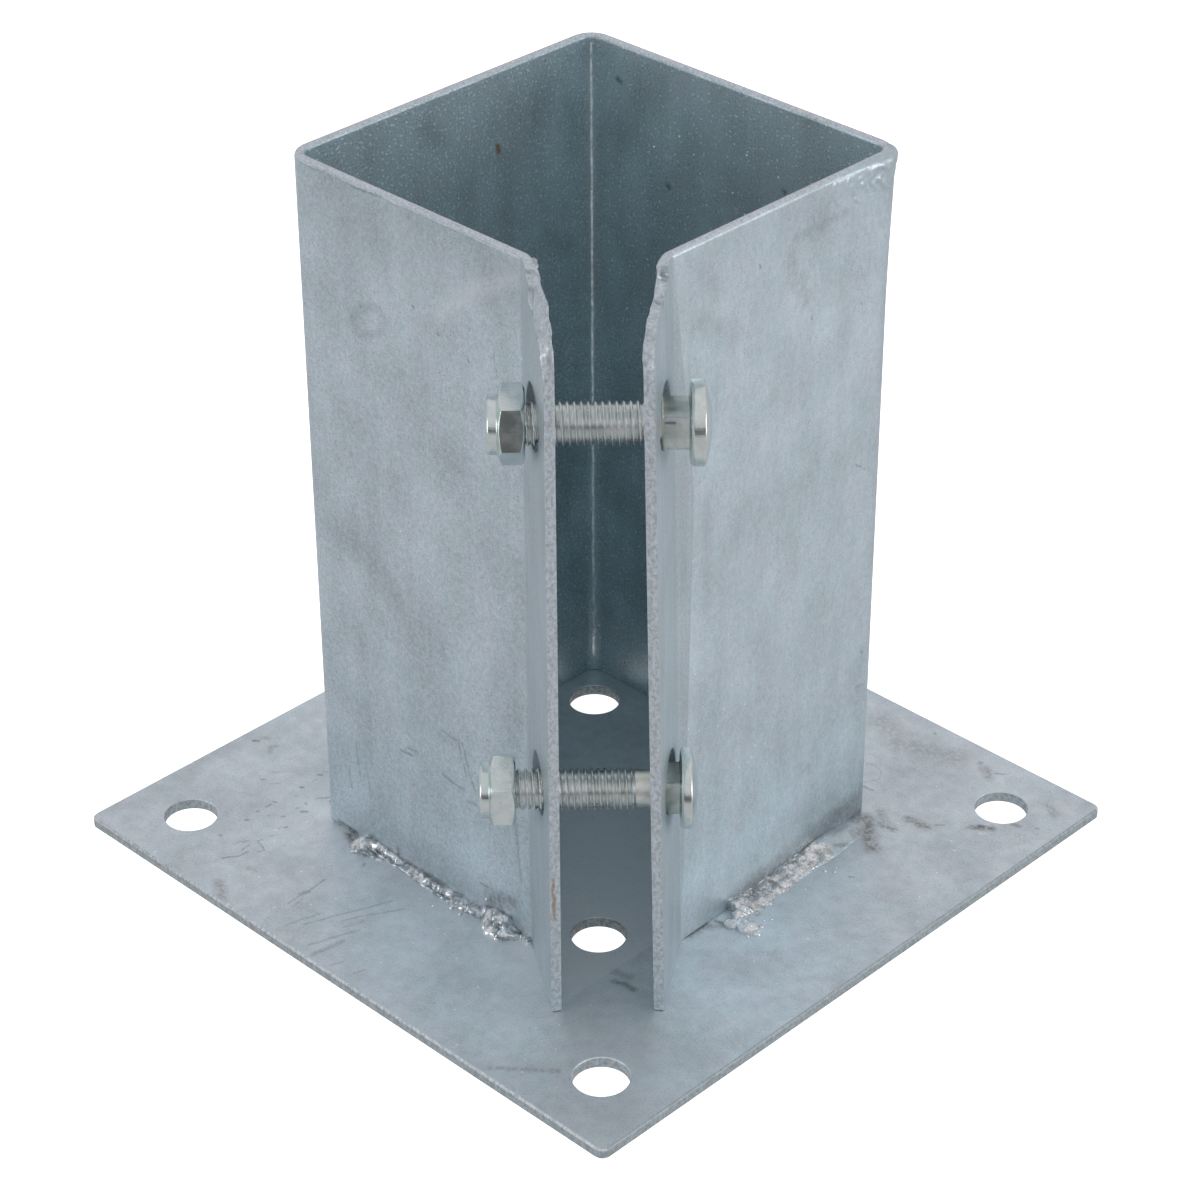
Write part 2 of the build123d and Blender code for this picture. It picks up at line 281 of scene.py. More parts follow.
# Places worked out from the CAD model
anchor_reach = 60.0
plate_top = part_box("base_plate")[1].z / MM
rim_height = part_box("post_socket")[1].z / MM
wall_middle = (post_room + sheet_thickness) / 2
wall_face = wall_middle + sheet_thickness / 2
wall_inside = post_room / 2
plate_strip = wall_face - 1.2
toe_in = radians(flange_toe_in)
flange_end_across = slot_width / 2 + sheet_thickness / 2 * cos(toe_in)
flange_bend_across = flange_end_across + flange_length * sin(toe_in)
flange_bend_inward = flange_bend_across - wall_middle * sqrt(2)
flange_end_inward = flange_bend_inward - flange_length * cos(toe_in)


def place(across, inward, height):
    """Point in metres from its places on the two diagonals and its height."""
    return (ACROSS * across + INWARD * inward + UP * height) * MM


def on_plate(x, y):
    """Point on the base plate's top."""
    return Vector((x, y, plate_top)) * MM


def on_left_wall(x, z):
    """Point on the outer face of the front left wall."""
    return Vector((x, -wall_face, z)) * MM


def on_right_wall(y, z):
    """Point on the outer face of the front right wall."""
    return Vector((wall_face, y, z)) * MM


def on_right_bead(y, out):
    """Point on the front right bead, its second place measured out from the wall."""
    return Vector((wall_face + out, y, plate_top + 0.8)) * MM


def on_left_bead(x, out):
    """Point on the front left bead, its second place measured out from the wall."""
    return Vector((x, -wall_face - out, plate_top + 0.8)) * MM


def on_upper_neck(from_head, above):
    """Point on the upper bolt's neck: how far from the head, and above the bolt's axis."""
    node = "upper_carriage_bolt"
    seat = reach(node, ACROSS)[1] - head_rim_heights["upper"] - head_dome_height
    front = middle(node, INWARD) - neck_width / 2
    return place(seat - from_head, front, middle(node, UP) + above)


def on_inner_left(y, z):
    """Point on the inner face of the back left wall."""
    return Vector((-wall_inside, y, z)) * MM


def on_inner_right(x, z):
    """Point on the inner face of the back right wall."""
    return Vector((x, wall_inside, z)) * MM


def on_cut_edge(across, height):
    """Point on the flanges' free ends, or on their sheared corners further up."""
    sheared = max(0, height - (rim_height - shear_depth)) / shear_depth
    return place(across, flange_end_inward + shear_length * sheared, height)


def reach(node, direction):
    """How far a CAD node reaches along a direction: lowest and highest, in millimetres."""
    along = [vertex.co.dot(direction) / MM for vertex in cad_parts[node].data.vertices]
    return min(along), max(along)


def middle(node, direction):
    """Middle of a CAD node along a direction, in millimetres."""
    return sum(reach(node, direction)) / 2


class Tree:
    """A node tree, with short calls for the nodes that it is made of."""

    def __init__(self, tree):
        self.nodes = tree.nodes
        self.links = tree.links

    def node(self, kind, values=(), **settings):
        """New node with its settings made and its sockets linked or set."""
        made = self.nodes.new(kind)
        for name, value in settings.items():
            setattr(made, name, value)
        for socket, value in dict(values).items():
            if isinstance(value, bpy.types.NodeSocket):
                self.links.new(value, made.inputs[socket])
            else:
                made.inputs[socket].default_value = value
        return made

    def math(self, operation, *values, **settings):
        """Result of a math node."""
        return self.node("ShaderNodeMath", enumerate(values), operation=operation, **settings).outputs[0]

    def vector(self, operation, *values):
        """Result of a vector math node."""
        given = dict(enumerate(values))
        if operation == "SCALE":
            given["Scale"] = given.pop(1)
        output = "Value" if operation in ("DOT_PRODUCT", "DISTANCE") else "Vector"
        return self.node("ShaderNodeVectorMath", given, operation=operation).outputs[output]

    def level(self, value, low, high, to_low=0.0, to_high=1.0):
        """Value mapped smoothly from low..high to to_low..to_high."""
        values = {"Value": value, "From Min": low, "From Max": high, "To Min": to_low, "To Max": to_high}
        return self.node("ShaderNodeMapRange", values, interpolation_type="SMOOTHSTEP").outputs[0]


class Surface(Tree):
    """A metal's node tree, with the noises and marks that it is made of."""

    def __init__(self, name, metallic):
        self.material = bpy.data.materials.new(name)
        self.material.use_nodes = True
        super().__init__(self.material.node_tree)
        self.shader = self.nodes["Principled BSDF"]
        self.shader.inputs["Metallic"].default_value = metallic
        self.place = self.node("ShaderNodeTexCoord").outputs["Object"]

    def mix(self, share, first, second):
        """Colour between two colours."""
        mixer = self.node("ShaderNodeMix", {0: share, 6: first, 7: second}, data_type="RGBA")
        return mixer.outputs[2]

    def along(self, direction):
        """Distance along a direction, in metres."""
        return self.vector("DOT_PRODUCT", self.place, tuple(direction))

    def noise(self, size, stretch=(1, 1, 1), detail=2.0, turned=False):
        """Soft noise about 0.5 whose features are some size millimetres across."""
        vector = self.diagonals() if turned else self.place
        scaled = self.node("ShaderNodeMapping", {"Vector": vector, "Scale": stretch}).outputs[0]
        values = {"Vector": scaled, "Scale": 1 / (size * MM), "Detail": detail}
        return self.node("ShaderNodeTexNoise", values).outputs["Fac"]

    def diagonals(self):
        """Place measured across, inward and up."""
        values = {0: self.along(ACROSS), 1: self.along(INWARD), 2: self.along(UP)}
        return self.node("ShaderNodeCombineXYZ", values).outputs[0]

    def specks(self, spacing, size, share):
        """Mask of small round spots, in a share of the cells."""
        cells = self.node("ShaderNodeTexVoronoi", {"Vector": self.place, "Scale": 1 / (spacing * MM)})
        spot = self.level(cells.outputs["Distance"], 0.3 * size / spacing, size / spacing, 1.0, 0.0)
        pick = self.node("ShaderNodeSeparateColor", {0: cells.outputs["Color"]}).outputs[0]
        return self.math("MULTIPLY", spot, self.math("LESS_THAN", pick, share))

    def layers(self, layers):
        """Noises added up about 0, each with its size, stretch, detail and weight."""
        total = 0.0
        for size, stretch, detail, weight in layers:
            centred = self.math("SUBTRACT", self.noise(size, stretch, detail), 0.5)
            total = self.math("MULTIPLY_ADD", centred, weight, total)
        return total

    def scaled(self, tone, factor):
        """Colour made lighter or darker by a factor."""
        return self.vector("SCALE", tone, factor)

    def strokes(self, face, marks):
        """Mask of strokes on a face: each mark lists its points, half width and strength."""
        wobble = self.node("ShaderNodeTexNoise", {"Vector": self.place, "Scale": 1 / (wobble_size * MM)})
        centred = self.vector("SUBTRACT", wobble.outputs["Color"], (0.5, 0.5, 0.5))
        worn_place = self.vector("MULTIPLY_ADD", centred, (wobble_reach * MM,) * 3, self.place)
        total = 0.0
        for *numbers, width, strength in marks:
            points = [face(*pair) for pair in zip(numbers[::2], numbers[1::2])]
            for start, finish in zip(points, points[1:]):
                values = {"Place": worn_place, "Start": start, "Finish": finish}
                values["Width"] = width * mark_spread * MM
                stroke = self.node("ShaderNodeGroup", values, node_tree=stroke_group())
                mask = self.math("MULTIPLY", stroke.outputs[0], strength)
                total = self.math("MAXIMUM", mask, total)
        return total

    def marked(self, colour, face, marks):
        """Colour with its dark marks, brown stains and pale smears drawn over it; some dark strokes are
        painted shadow and some pale ones painted light.
        """
        ragged = self.level(self.noise(0.6, (1, 1, 1), 3.0), 0.3, 0.55, 0.5, 1.0)
        blotched = self.level(self.noise(0.9, (1, 1, 1), 2.0), 0.3, 0.66, 0.3, 1.0)
        for kind, tone, cover in (
            ("brown", stain_tone, blotched),
            ("dark", mark_and_painted_shadow_tone, ragged),
            ("pale", smear_and_painted_light_tone, ragged),
            ("rust", rust_tone, ragged),
        ):
            if kind in marks:
                mask = self.math("MULTIPLY", self.strokes(face, marks[kind]), cover)
                colour = self.mix(mask, colour, tone)
        return colour

    def finish(self, colour, roughness, relief=None, relief_height=0.0):
        """Links the colour, roughness and bump to the shader and returns the material."""
        self.links.new(colour, self.shader.inputs["Base Color"])
        self.links.new(roughness, self.shader.inputs["Roughness"])
        if relief is not None:
            values = {"Height": relief, "Distance": relief_height * MM, "Strength": 1.0}
            bump = self.node("ShaderNodeBump", values)
            self.links.new(bump.outputs[0], self.shader.inputs["Normal"])
        return self.material


def stroke_group():
    """Node group giving 1 on the line from Start to Finish and 0 beyond Width from it."""
    if "stroke" in bpy.data.node_groups:
        return bpy.data.node_groups["stroke"]
    group = bpy.data.node_groups.new("stroke", "ShaderNodeTree")
    for name in ("Place", "Start", "Finish"):
        group.interface.new_socket(name, in_out="INPUT", socket_type="NodeSocketVector")
    group.interface.new_socket("Width", in_out="INPUT", socket_type="NodeSocketFloat")
    group.interface.new_socket("Mask", in_out="OUTPUT", socket_type="NodeSocketFloat")
    tree = Tree(group)
    given = tree.node("NodeGroupInput").outputs
    result = tree.node("NodeGroupOutput").inputs
    line = tree.vector("SUBTRACT", given["Finish"], given["Start"])
    from_start = tree.vector("SUBTRACT", given["Place"], given["Start"])
    ahead = tree.vector("DOT_PRODUCT", from_start, line)
    whole = tree.vector("DOT_PRODUCT", line, line)
    share = tree.math("DIVIDE", ahead, whole, use_clamp=True)
    nearest = tree.vector("SCALE", line, share)
    distance = tree.vector("DISTANCE", from_start, nearest)
    tree.links.new(tree.level(distance, 0.0, given["Width"], 1.0, 0.0), result["Mask"])
    return group


def galvanised(name, tone, texture, face=None, marks=None):
    """Dull blue-grey zinc: clouds, grain, dark pits and light specks, and its own marks, among them
    painted light and painted shadow.
    """
    metal = Surface(name, 0.7)
    light = metal.layers(texture["layers"])
    cool = tuple(part * shift for part, shift in zip(tone, cool_shift))
    warm = tuple(part * shift for part, shift in zip(tone, warm_shift))
    drift = metal.level(metal.noise(7.0, (1, 1, 1), 3.0), 0.38, 0.62)
    colour = metal.mix(drift, cool + (1,), warm + (1,))
    colour = metal.scaled(colour, metal.math("ADD", light, 1.0))
    crowding = metal.level(metal.noise(9.0, (1, 1, 1), 2.0), 0.4, 0.62, 0.35, 1.0)
    pits = metal.level(metal.noise(texture["pit_size"], (1, 1, 1), 1.0), 0.60, 0.70)
    pits = metal.math("MULTIPLY", metal.math("MULTIPLY", pits, crowding), texture["pit_depth"])
    colour = metal.mix(pits, colour, mark_and_painted_shadow_tone)
    spacing, size, share, strength = texture["specks"]
    sparks = metal.specks(spacing, size, share)
    colour = metal.scaled(colour, metal.math("MULTIPLY_ADD", sparks, strength, 1.0))
    if marks:
        colour = metal.marked(colour, face, marks)
    relief = metal.math("MULTIPLY_ADD", sparks, 0.6, metal.math("SUBTRACT", light, pits))
    return metal.finish(colour, metal.level(light, -0.2, 0.2, 0.5, 0.4), relief, 0.06)


def raw_edge(name, dark_tone, light_tone, roughness, face=None, marks=None):
    """Sheared edge under zinc: coarse light and dark speckle on a rough face."""
    metal = Surface(name, 0.6)
    lumps = metal.noise(0.65, (1, 1, 0.7), 3.0)
    grain = metal.noise(0.3, (1, 1, 1), 2.0)
    light = metal.math("MULTIPLY_ADD", lumps, 0.65, metal.math("MULTIPLY", grain, 0.35))
    colour = metal.mix(metal.level(light, 0.3, 0.68), dark_tone, light_tone)
    if marks:
        colour = metal.marked(colour, face, marks)
    return metal.finish(colour, metal.level(lumps, 0.3, 0.7, 0.55, 0.4), light, roughness)


def bright_zinc(name, first_tone, second_tone, brushing, dullness=(0.2, 0.3), face=None, marks=None):
    """Bright zinc plating with faint tints, brushed across where it was drawn."""
    metal = Surface(name, 1.0)
    tint = metal.noise(3.0, (1, 1, 1), 2.0)
    brushed = metal.noise(0.22, (0.06, 1, 1), 2.0, turned=True)
    grain = metal.noise(0.5, (1, 1, 1), 2.0)
    colour = metal.mix(metal.level(tint, 0.35, 0.65), first_tone, second_tone)
    lines = metal.math("MULTIPLY_ADD", brushed, brushing, metal.math("MULTIPLY", grain, 0.3))
    dirt = metal.level(grain, 0.62, 0.8, 0.0, 0.35)
    colour = metal.mix(dirt, colour, dirt_tone)
    if marks:
        colour = metal.marked(colour, face, marks)
    return metal.finish(colour, metal.level(tint, 0.3, 0.7, *dullness), lines, 0.03)


def weld_metal(name, dull_tone, bright_tone, grain_size, roughness, face=None, marks=None, bump=0.08):
    """Weld metal under zinc: wet-looking ridges, dull hollows and dark pores."""
    metal = Surface(name, 0.85)
    clouds = metal.noise(2.0, (1, 1, 1), 3.0)
    grain = metal.noise(grain_size, (1, 1, 1), 3.0)
    light = metal.math("MULTIPLY_ADD", clouds, 0.6, metal.math("MULTIPLY", grain, 0.4))
    colour = metal.mix(metal.level(light, 0.4, 0.6), dull_tone, bright_tone)
    pores = metal.level(grain, 0.62, 0.72, 0.0, 0.6)
    colour = metal.mix(pores, colour, pore_tone)
    if marks:
        colour = metal.marked(colour, face, marks)
    relief = metal.math("MULTIPLY_ADD", clouds, 0.5, metal.math("MULTIPLY", grain, 0.5))
    shine = metal.level(grain, 0.35, 0.65, *roughness)
    return metal.finish(colour, shine, relief, bump)


def nylon_plastic(name):
    """Natural nylon, slightly mottled."""
    plastic = Surface(name, 0.0)
    tint = plastic.noise(1.5, (1, 1, 1), 2.0)
    colour = plastic.mix(tint, (0.66, 0.65, 0.58, 1), (0.78, 0.78, 0.72, 1))
    return plastic.finish(colour, plastic.level(tint, 0.3, 0.7, 0.42, 0.5), tint, 0.02)


def add_piece(name, mesh, materials, slot, *nodes):
    """Object for a mesh that rides on the part and stands for the named CAD nodes."""
    for material in materials:
        mesh.materials.append(material)
    piece = bpy.data.objects.new(name, mesh)
    bpy.context.scene.collection.objects.link(piece)
    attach(piece, "root")
    if nodes:
        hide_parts(*nodes)
    return piece


def mesh_of(work, name, sharp_angle):
    """Mesh from a bmesh, shaded smooth up to an angle."""
    bmesh.ops.recalc_face_normals(work, faces=work.faces)
    mesh = bpy.data.meshes.new(name)
    work.to_mesh(mesh)
    work.free()
    mesh.shade_smooth()
    mesh.set_sharp_from_angle(angle=radians(sharp_angle))
    return mesh


def weigh_normals(piece):
    """Lets the large flat faces set the shading beside the small rounded ones."""
    weighting = piece.modifiers.new("weighted_normals", "WEIGHTED_NORMAL")
    weighting.keep_sharp = True


def copy_node(node):
    """bmesh of a CAD node, its facets joined back into whole faces."""
    work = bmesh.new()
    work.from_mesh(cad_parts[node].data)
    bmesh.ops.remove_doubles(work, verts=work.verts, dist=0.001 * MM)
    limit = radians(0.2)
    bmesh.ops.dissolve_limit(work, angle_limit=limit, verts=work.verts, edges=work.edges)
    return work


def round_edges(work, size, chosen, steps=3, angle=35):
    """Rounds the sharp edges that the chosen test accepts."""
    edges = [
        edge
        for edge in work.edges
        if edge.calc_face_angle(0) > radians(angle) and chosen(edge)
    ]
    rounding = {"affect": "EDGES", "offset_type": "OFFSET", "profile": 0.5}
    bmesh.ops.bevel(work, geom=edges, offset=size * MM, segments=steps, **rounding)


def in_sheared_corner(point):
    """Whether a point lies where the flanges' top corners are sheared off."""
    back = point.dot(INWARD) / MM - flange_end_inward
    below = rim_height - point.z / MM
    return back < shear_length and below < shear_depth


def tear(work):
    """Makes the sheared corner faces lumpy, as metal torn in the shears is."""
    flange_normals = [ACROSS * cos(toe_in) + INWARD * side * sin(toe_in) for side in (-1, 1)]

    def is_torn(face):
        if not all(in_sheared_corner(corner.co) for corner in face.verts):
            return False
        alongside = max(abs(face.normal.dot(normal)) for normal in flange_normals)
        level_rim = face.normal.z > 0.995
        return alongside < 0.9 and not level_rim and face.normal.dot(INWARD) > -0.95

    torn = [face for face in work.faces if is_torn(face)]
    bmesh.ops.triangulate(work, faces=torn)
    for _ in range(5):
        edges = {edge for face in work.faces if is_torn(face) for edge in face.edges}
        long_edges = [edge for edge in edges if edge.calc_length() > tear_step * MM]
        if not long_edges:
            break
        bmesh.ops.subdivide_edges(work, edges=long_edges, cuts=1)
        bmesh.ops.triangulate(work, faces=[face for face in work.faces if is_torn(face)])
    points = {corner for face in work.faces if is_torn(face) for corner in face.verts}
    for point in points:
        coarse = noise.noise_vector(point.co / (2.4 * MM))
        fine = noise.noise_vector(point.co / (1.0 * MM))
        shift = (coarse + fine * 0.2) * tear_depth * MM
        shift.z = min(shift.z, rim_height * MM - point.co.z)
        point.co += shift


def dress_socket():
    """Folded socket with rounded rim and edges and torn corners."""
    work = copy_node("post_socket")
    rim = (rim_height - 0.01) * MM

    def on_rim(edge):
        return min(corner.co.z for corner in edge.verts) > rim and not near_tear(edge)

    def elsewhere(edge):
        return max(corner.co.z for corner in edge.verts) < rim - 0.9 * MM and not near_tear(edge)

    def near_tear(edge):
        return any(in_sheared_corner(corner.co) for corner in edge.verts)

    tear(work)
    round_edges(work, rim_rounding, on_rim, 5)
    round_edges(work, edge_rounding, elsewhere)
    finishes = list(socket_finishes)
    for face in work.faces:
        face.material_index = finishes.index(socket_finish(face))
    materials = [socket_finishes[name] for name in finishes]
    piece = add_piece("dressed_socket", mesh_of(work, "dressed_socket", 40), materials,
                      "galvanised_sheet", "post_socket")
    weigh_normals(piece)


def socket_finish(face):
    """Name of the finish on a face of the socket."""
    centre = face.calc_center_median() / MM
    inward = centre.dot(INWARD)
    if in_sheared_corner(centre * MM) and len(face.verts) == 3:
        return "edge"
    if face.normal.dot(INWARD) < -0.75 and inward < flange_end_inward + 2:
        return "edge"
    if face.normal.z > 0.6 and centre.z > rim_height - 0.8:
        return "rim"
    if inward < flange_bend_inward + 1.5:
        return "flange"
    if centre.y < face_margin - wall_face:
        return "left_wall"
    if centre.x > wall_face - face_margin:
        return "right_wall"
    if centre.x < face_margin - wall_inside and face.normal.x > 0.2:
        return "inner_left"
    if centre.y > wall_inside - face_margin and face.normal.y < -0.2:
        return "inner_right"
    if face.normal.x * centre.x + face.normal.y * centre.y <= 0:
        return "inner_front"
    return "right_wall" if centre.x > wall_face - 4 else "back"


def dress_plate():
    """Base plate with softened hole edges; painted shade darkens its sheared sides and the holes inside
    the socket, and a painted highlight lightens its left rounding.
    """
    work = copy_node("base_plate")
    round_edges(work, plate_rounding, lambda edge: True, 3, 60)
    for border in (-plate_strip, plate_strip):
        everything = work.verts[:] + work.edges[:] + work.faces[:]
        bmesh.ops.bisect_plane(work, geom=everything, plane_co=(border * MM, 0, 0), plane_no=(1, 0, 0))
    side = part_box("base_plate")[1].x - face_margin * MM
    strip = plate_strip * MM
    finishes = list(plate_finishes)
    for face in work.faces:
        centre = face.calc_center_median()
        outermost = max(abs(centre.x), abs(centre.y))
        steep = abs(face.normal.z) < 0.4
        # Outer sides and the rounding along them get finishes darkened with painted shade
        if outermost > side:
            # Rounding that faces left gets a lighter finish: a painted highlight
            left = face.normal.y < -0.3
            name = "side" if steep else "left_rounding" if left else "rounding"
        elif abs(face.normal.z) < 0.95:
            name = "hole_wall" if steep else "hole_rounding"
            # Holes inside the socket take darker copies of the hole finishes: painted shade
            if outermost < wall_face * MM:
                name = "inner_" + name
        else:
            name = "left_strip" if centre.x < -strip else "right_strip" if centre.x > strip else "middle"
        face.material_index = finishes.index(name)
    materials = [plate_finishes[name] for name in finishes]
    piece = add_piece("dressed_plate", mesh_of(work, "dressed_plate", 40), materials,
                      "galvanised_plate", "base_plate")
    weigh_normals(piece)


def rounded_square(angle, width, corner):
    """Radius of a square with rounded corners in a direction."""
    turn = abs((angle + pi / 4) % (pi / 2) - pi / 4)
    half = width / 2
    centre = half - corner
    if half * tan(turn) <= centre:
        return half / cos(turn)
    ahead = centre * (cos(turn) + sin(turn))
    aside = 2 * centre**2 - ahead**2
    return ahead + sqrt(corner**2 - aside)


def hexagon(angle, across_flats):
    """Radius of a hexagon in a direction, with a corner at angle 0."""
    return across_flats / 2 / cos(angle % (pi / 3) - pi / 6)


def soft_minimum(first, second, blend):
    """Smaller of two values, rounded where they are nearly alike."""
    return -blend * sum_of_logs(-first / blend, -second / blend)


def sum_of_logs(first, second):
    """Logarithm of the sum of two exponentials."""
    larger, smaller = max(first, second), min(first, second)
    return larger + log1p(exp(smaller - larger))


def join_rings(work, rings):
    """Faces from each ring to the next, ring by ring."""
    faces = []
    for ring, following in zip(rings, rings[1:]):
        for j, corner in enumerate(ring):
            after = (j + 1) % len(ring)
            faces.append(work.faces.new((corner, ring[after], following[after], following[j])))
    return faces


def turned_mesh(origin, x_dir, stations, angles, closed):
    """Mesh of rings about the axis running left across the slot.

    A station is a distance along the axis and a function giving the radius at an angle.
    """
    axis = -ACROSS
    y_dir = axis.cross(x_dir)
    work = bmesh.new()
    rings = []
    for distance, radius_at in stations:
        ring = []
        for angle in angles:
            spoke = x_dir * cos(angle) + y_dir * sin(angle)
            ring.append(work.verts.new(origin + (axis * distance + spoke * radius_at(angle)) * MM))
        rings.append(ring)
    if closed:
        join_rings(work, [*rings, rings[0]])
    else:
        join_rings(work, rings)
        work.faces.new(rings[0])
        work.faces.new(rings[-1])
    return work


def even_angles(count):
    """Angles spaced evenly round a circle."""
    return [2 * pi * k / count for k in range(count)]


def arc(centre_distance, centre_radius, size, first, last, steps):
    """Stations along an arc in an axial plane, its angles from the axis's square."""
    return [
        (
            centre_distance + size * sin(radians(first + (last - first) * k / steps)),
            centre_radius + size * cos(radians(first + (last - first) * k / steps)),
        )
        for k in range(steps + 1)
    ]


def round_stations(places):
    """Stations that are circles, from their distances and radii."""
    return [(distance, lambda angle, r=radius: r) for distance, radius in places]


def head_stations(head_rim_height):
    """Stations of a carriage bolt's domed head, down to its seat at distance 0."""
    crown = head_diameter / 2 - head_crown_rounding
    cap = (crown**2 + head_dome_height**2) / (2 * head_dome_height)
    top = head_rim_height + head_dome_height
    places = []
    for share in dome_rings:
        radius = crown * share
        places.append((-(top - cap + sqrt(cap**2 - radius**2)), radius))
    crown_round, seat_round = head_crown_rounding, head_seat_rounding
    places += arc(crown_round - head_rim_height, crown, crown_round, -80, 0, 6)
    places += arc(-seat_round, head_diameter / 2 - seat_round, seat_round, 0, 90, 7)
    return round_stations(places)


def neck_stations(neck_length, turn):
    """Stations of a carriage bolt's square neck, flared at the head and rounded at its end."""

    def shrunk(shrink):
        return lambda angle: rounded_square(angle - turn, neck_width, neck_corner_radius) - shrink

    end = neck_length
    outline = ((0, -0.25), (0.25, 0), (end - 0.35, 0), (end - 0.1, 0.12), (end, 0.35))
    return [(distance, shrunk(shrink)) for distance, shrink in outline]


def thread_radius(distance, angle, start, bolt_length):
    """Radius of a right-hand rolled thread at a distance from the head's seat."""
    turn = (distance / thread_pitch - angle / (2 * pi)) % 1
    height = min(1, max(0, (1 - 2 * abs(turn - 0.5) - thread_root) / thread_flank))
    crest = thread_diameter / 2
    radius = crest - thread_depth * (1 - height)
    fade = min(1, max(0, (distance - start) / (thread_runout * thread_pitch)))
    point = crest - max(0, distance - (bolt_length - bolt_point_chamfer))
    return min(shank_diameter / 2 + fade * (radius - shank_diameter / 2), point)


def thread_stations(start, bolt_length):
    """Stations along a thread, ten to a turn."""
    step = thread_pitch / 10
    stations = []
    for k in range(int((bolt_length - start) / step) + 1):
        distance = min(bolt_length, start + k * step)
        stations.append((
            distance,
            lambda angle, d=distance: thread_radius(d, angle, start, bolt_length),
        ))
    return stations


def add_bolt(level):
    """Carriage bolt with a soft domed head, square neck and rolled thread."""
    node = f"{level}_carriage_bolt"
    insert = f"{level}_nut_insert"
    neck_length, bolt_length = neck_lengths[level], bolt_lengths[level]
    thread_start = neck_length + plain_shank_length
    seat_across = reach(node, ACROSS)[1] - head_rim_heights[level] - head_dome_height
    origin = place(seat_across, middle(insert, INWARD), middle(insert, UP))
    stations = head_stations(head_rim_heights[level])
    stations += neck_stations(neck_length, -radians(neck_turns[level]))
    shank = shank_diameter / 2
    stations += round_stations(((neck_length, shank), (neck_length + 0.1, shank)))
    stations += thread_stations(thread_start, bolt_length)
    work = turned_mesh(origin, INWARD, stations, even_angles(ring_points), False)
    for face in work.faces:
        from_seat = seat_across - face.calc_center_median().dot(ACROSS) / MM
        face.material_index = int(from_seat > 0) + int(from_seat > thread_start)
    mesh = mesh_of(work, f"threaded_{level}_bolt", 50)
    materials = [bolt_zinc, neck_zinc, thread_zinc]
    add_piece(f"threaded_{level}_bolt", mesh, materials, "zinc_plated_bolt", node)


def hexagon_stations(turn):
    """Stations of a nut's hexagon, its corners cut back by a cone at each end."""
    corner = nut_across_flats / sqrt(3)
    face = nut_across_flats / 2 - nut_face_inset
    slope = 1 / tan(radians(nut_chamfer_angle))
    bevel = (corner - face) / slope
    shoulder = nut_collar_radius + nut_shoulder_step
    shoulder_slope = 1 / tan(radians(nut_shoulder_angle))
    shoulder_bevel = (corner - shoulder) / shoulder_slope

    def station(distance, cone):
        def radius_at(angle):
            return soft_minimum(hexagon(angle - turn, nut_across_flats), cone, nut_edge_softness)

        return distance, radius_at

    stations = []
    for k in range(seat_steps + 1):
        distance = bevel * bevel_margin * k / seat_steps
        stations.append(station(distance, face + distance * slope))
    for k in reversed(range(shoulder_steps + 1)):
        below = shoulder_bevel * bevel_margin * k / shoulder_steps
        stations.append(station(nut_hex_height - below, shoulder + below * shoulder_slope))
    return stations


def collar_stations():
    """Stations of a lock nut's rolled collar, its ring's recess and its bore."""
    top = nut_hex_height + nut_collar_height
    rounding = nut_collar_radius - nut_recess_radius
    places = [(nut_hex_height + 0.1, nut_collar_radius)]
    places += arc(top - rounding, nut_recess_radius, rounding, 0, 90, 7)
    places += [(top, nut_mouth_radius + 0.15), (top - 0.15, nut_mouth_radius)]
    places += [(top - nut_lip, nut_mouth_radius), (top - nut_lip, nut_recess_radius)]
    places += [(nut_hex_height, nut_recess_radius), (nut_hex_height, nut_bore_radius)]
    places += [(nut_bore_chamfer, nut_bore_radius), (0, nut_bore_radius + nut_bore_chamfer)]
    return round_stations(places)


def nut_angles(turn):
    """Angles round a nut, closest together at its corners."""
    sector = pi / 3
    angles = []
    for corner in range(6):
        for k in range(nut_side_points):
            share = k / nut_side_points * 2 - 1
            drawn = (1 - (1 - abs(share)) ** 1.8) * (1 if share > 0 else -1)
            angles.append(turn + sector * (corner + 0.5 + drawn / 2))
    return angles


def add_nut(level):
    """Lock nut with chamfered corners, a rolled collar and an open bore."""
    node = f"{level}_lock_nut"
    insert = f"{level}_nut_insert"
    origin = place(reach(node, ACROSS)[1], middle(insert, INWARD), middle(insert, UP))
    turn = radians(nut_turns[level])
    stations = hexagon_stations(turn) + collar_stations()
    work = turned_mesh(origin, -INWARD, stations, nut_angles(turn), True)
    mesh = mesh_of(work, f"chamfered_{level}_nut", 40)
    add_piece(f"chamfered_{level}_nut", mesh, [nut_zinc], "zinc_plated_nut", node)


def foot_line(start, finish):
    """Ends of a wall's outer foot line and its outward direction, from sheet corners."""
    start, finish = place(*start, plate_top), place(*finish, plate_top)
    outward = (finish - start).cross(UP).normalized()
    if outward.dot(start + finish) < 0:
        outward = -outward
    clear = outward * sheet_thickness / 2 * MM
    return start + clear, finish + clear, outward


def steps_at(travel, steps):
    """Value at a travel, smoothed between steps of travel and value."""
    for (first, value), (second, following) in zip(steps, steps[1:]):
        if travel < second:
            share = max(0, (travel - first) / (second - first))
            return value + (following - value) * share * share * (3 - 2 * share)
    return steps[-1][1]


def off_line(spot, points):
    """Distance of a flat spot from the line through some points."""
    nearest = (spot - points[0]).length
    for start, finish in zip(points, points[1:]):
        line = finish - start
        share = min(1, max(0, (spot - start).dot(line) / line.length_squared))
        nearest = min(nearest, (spot - start - line * share).length)
    return nearest


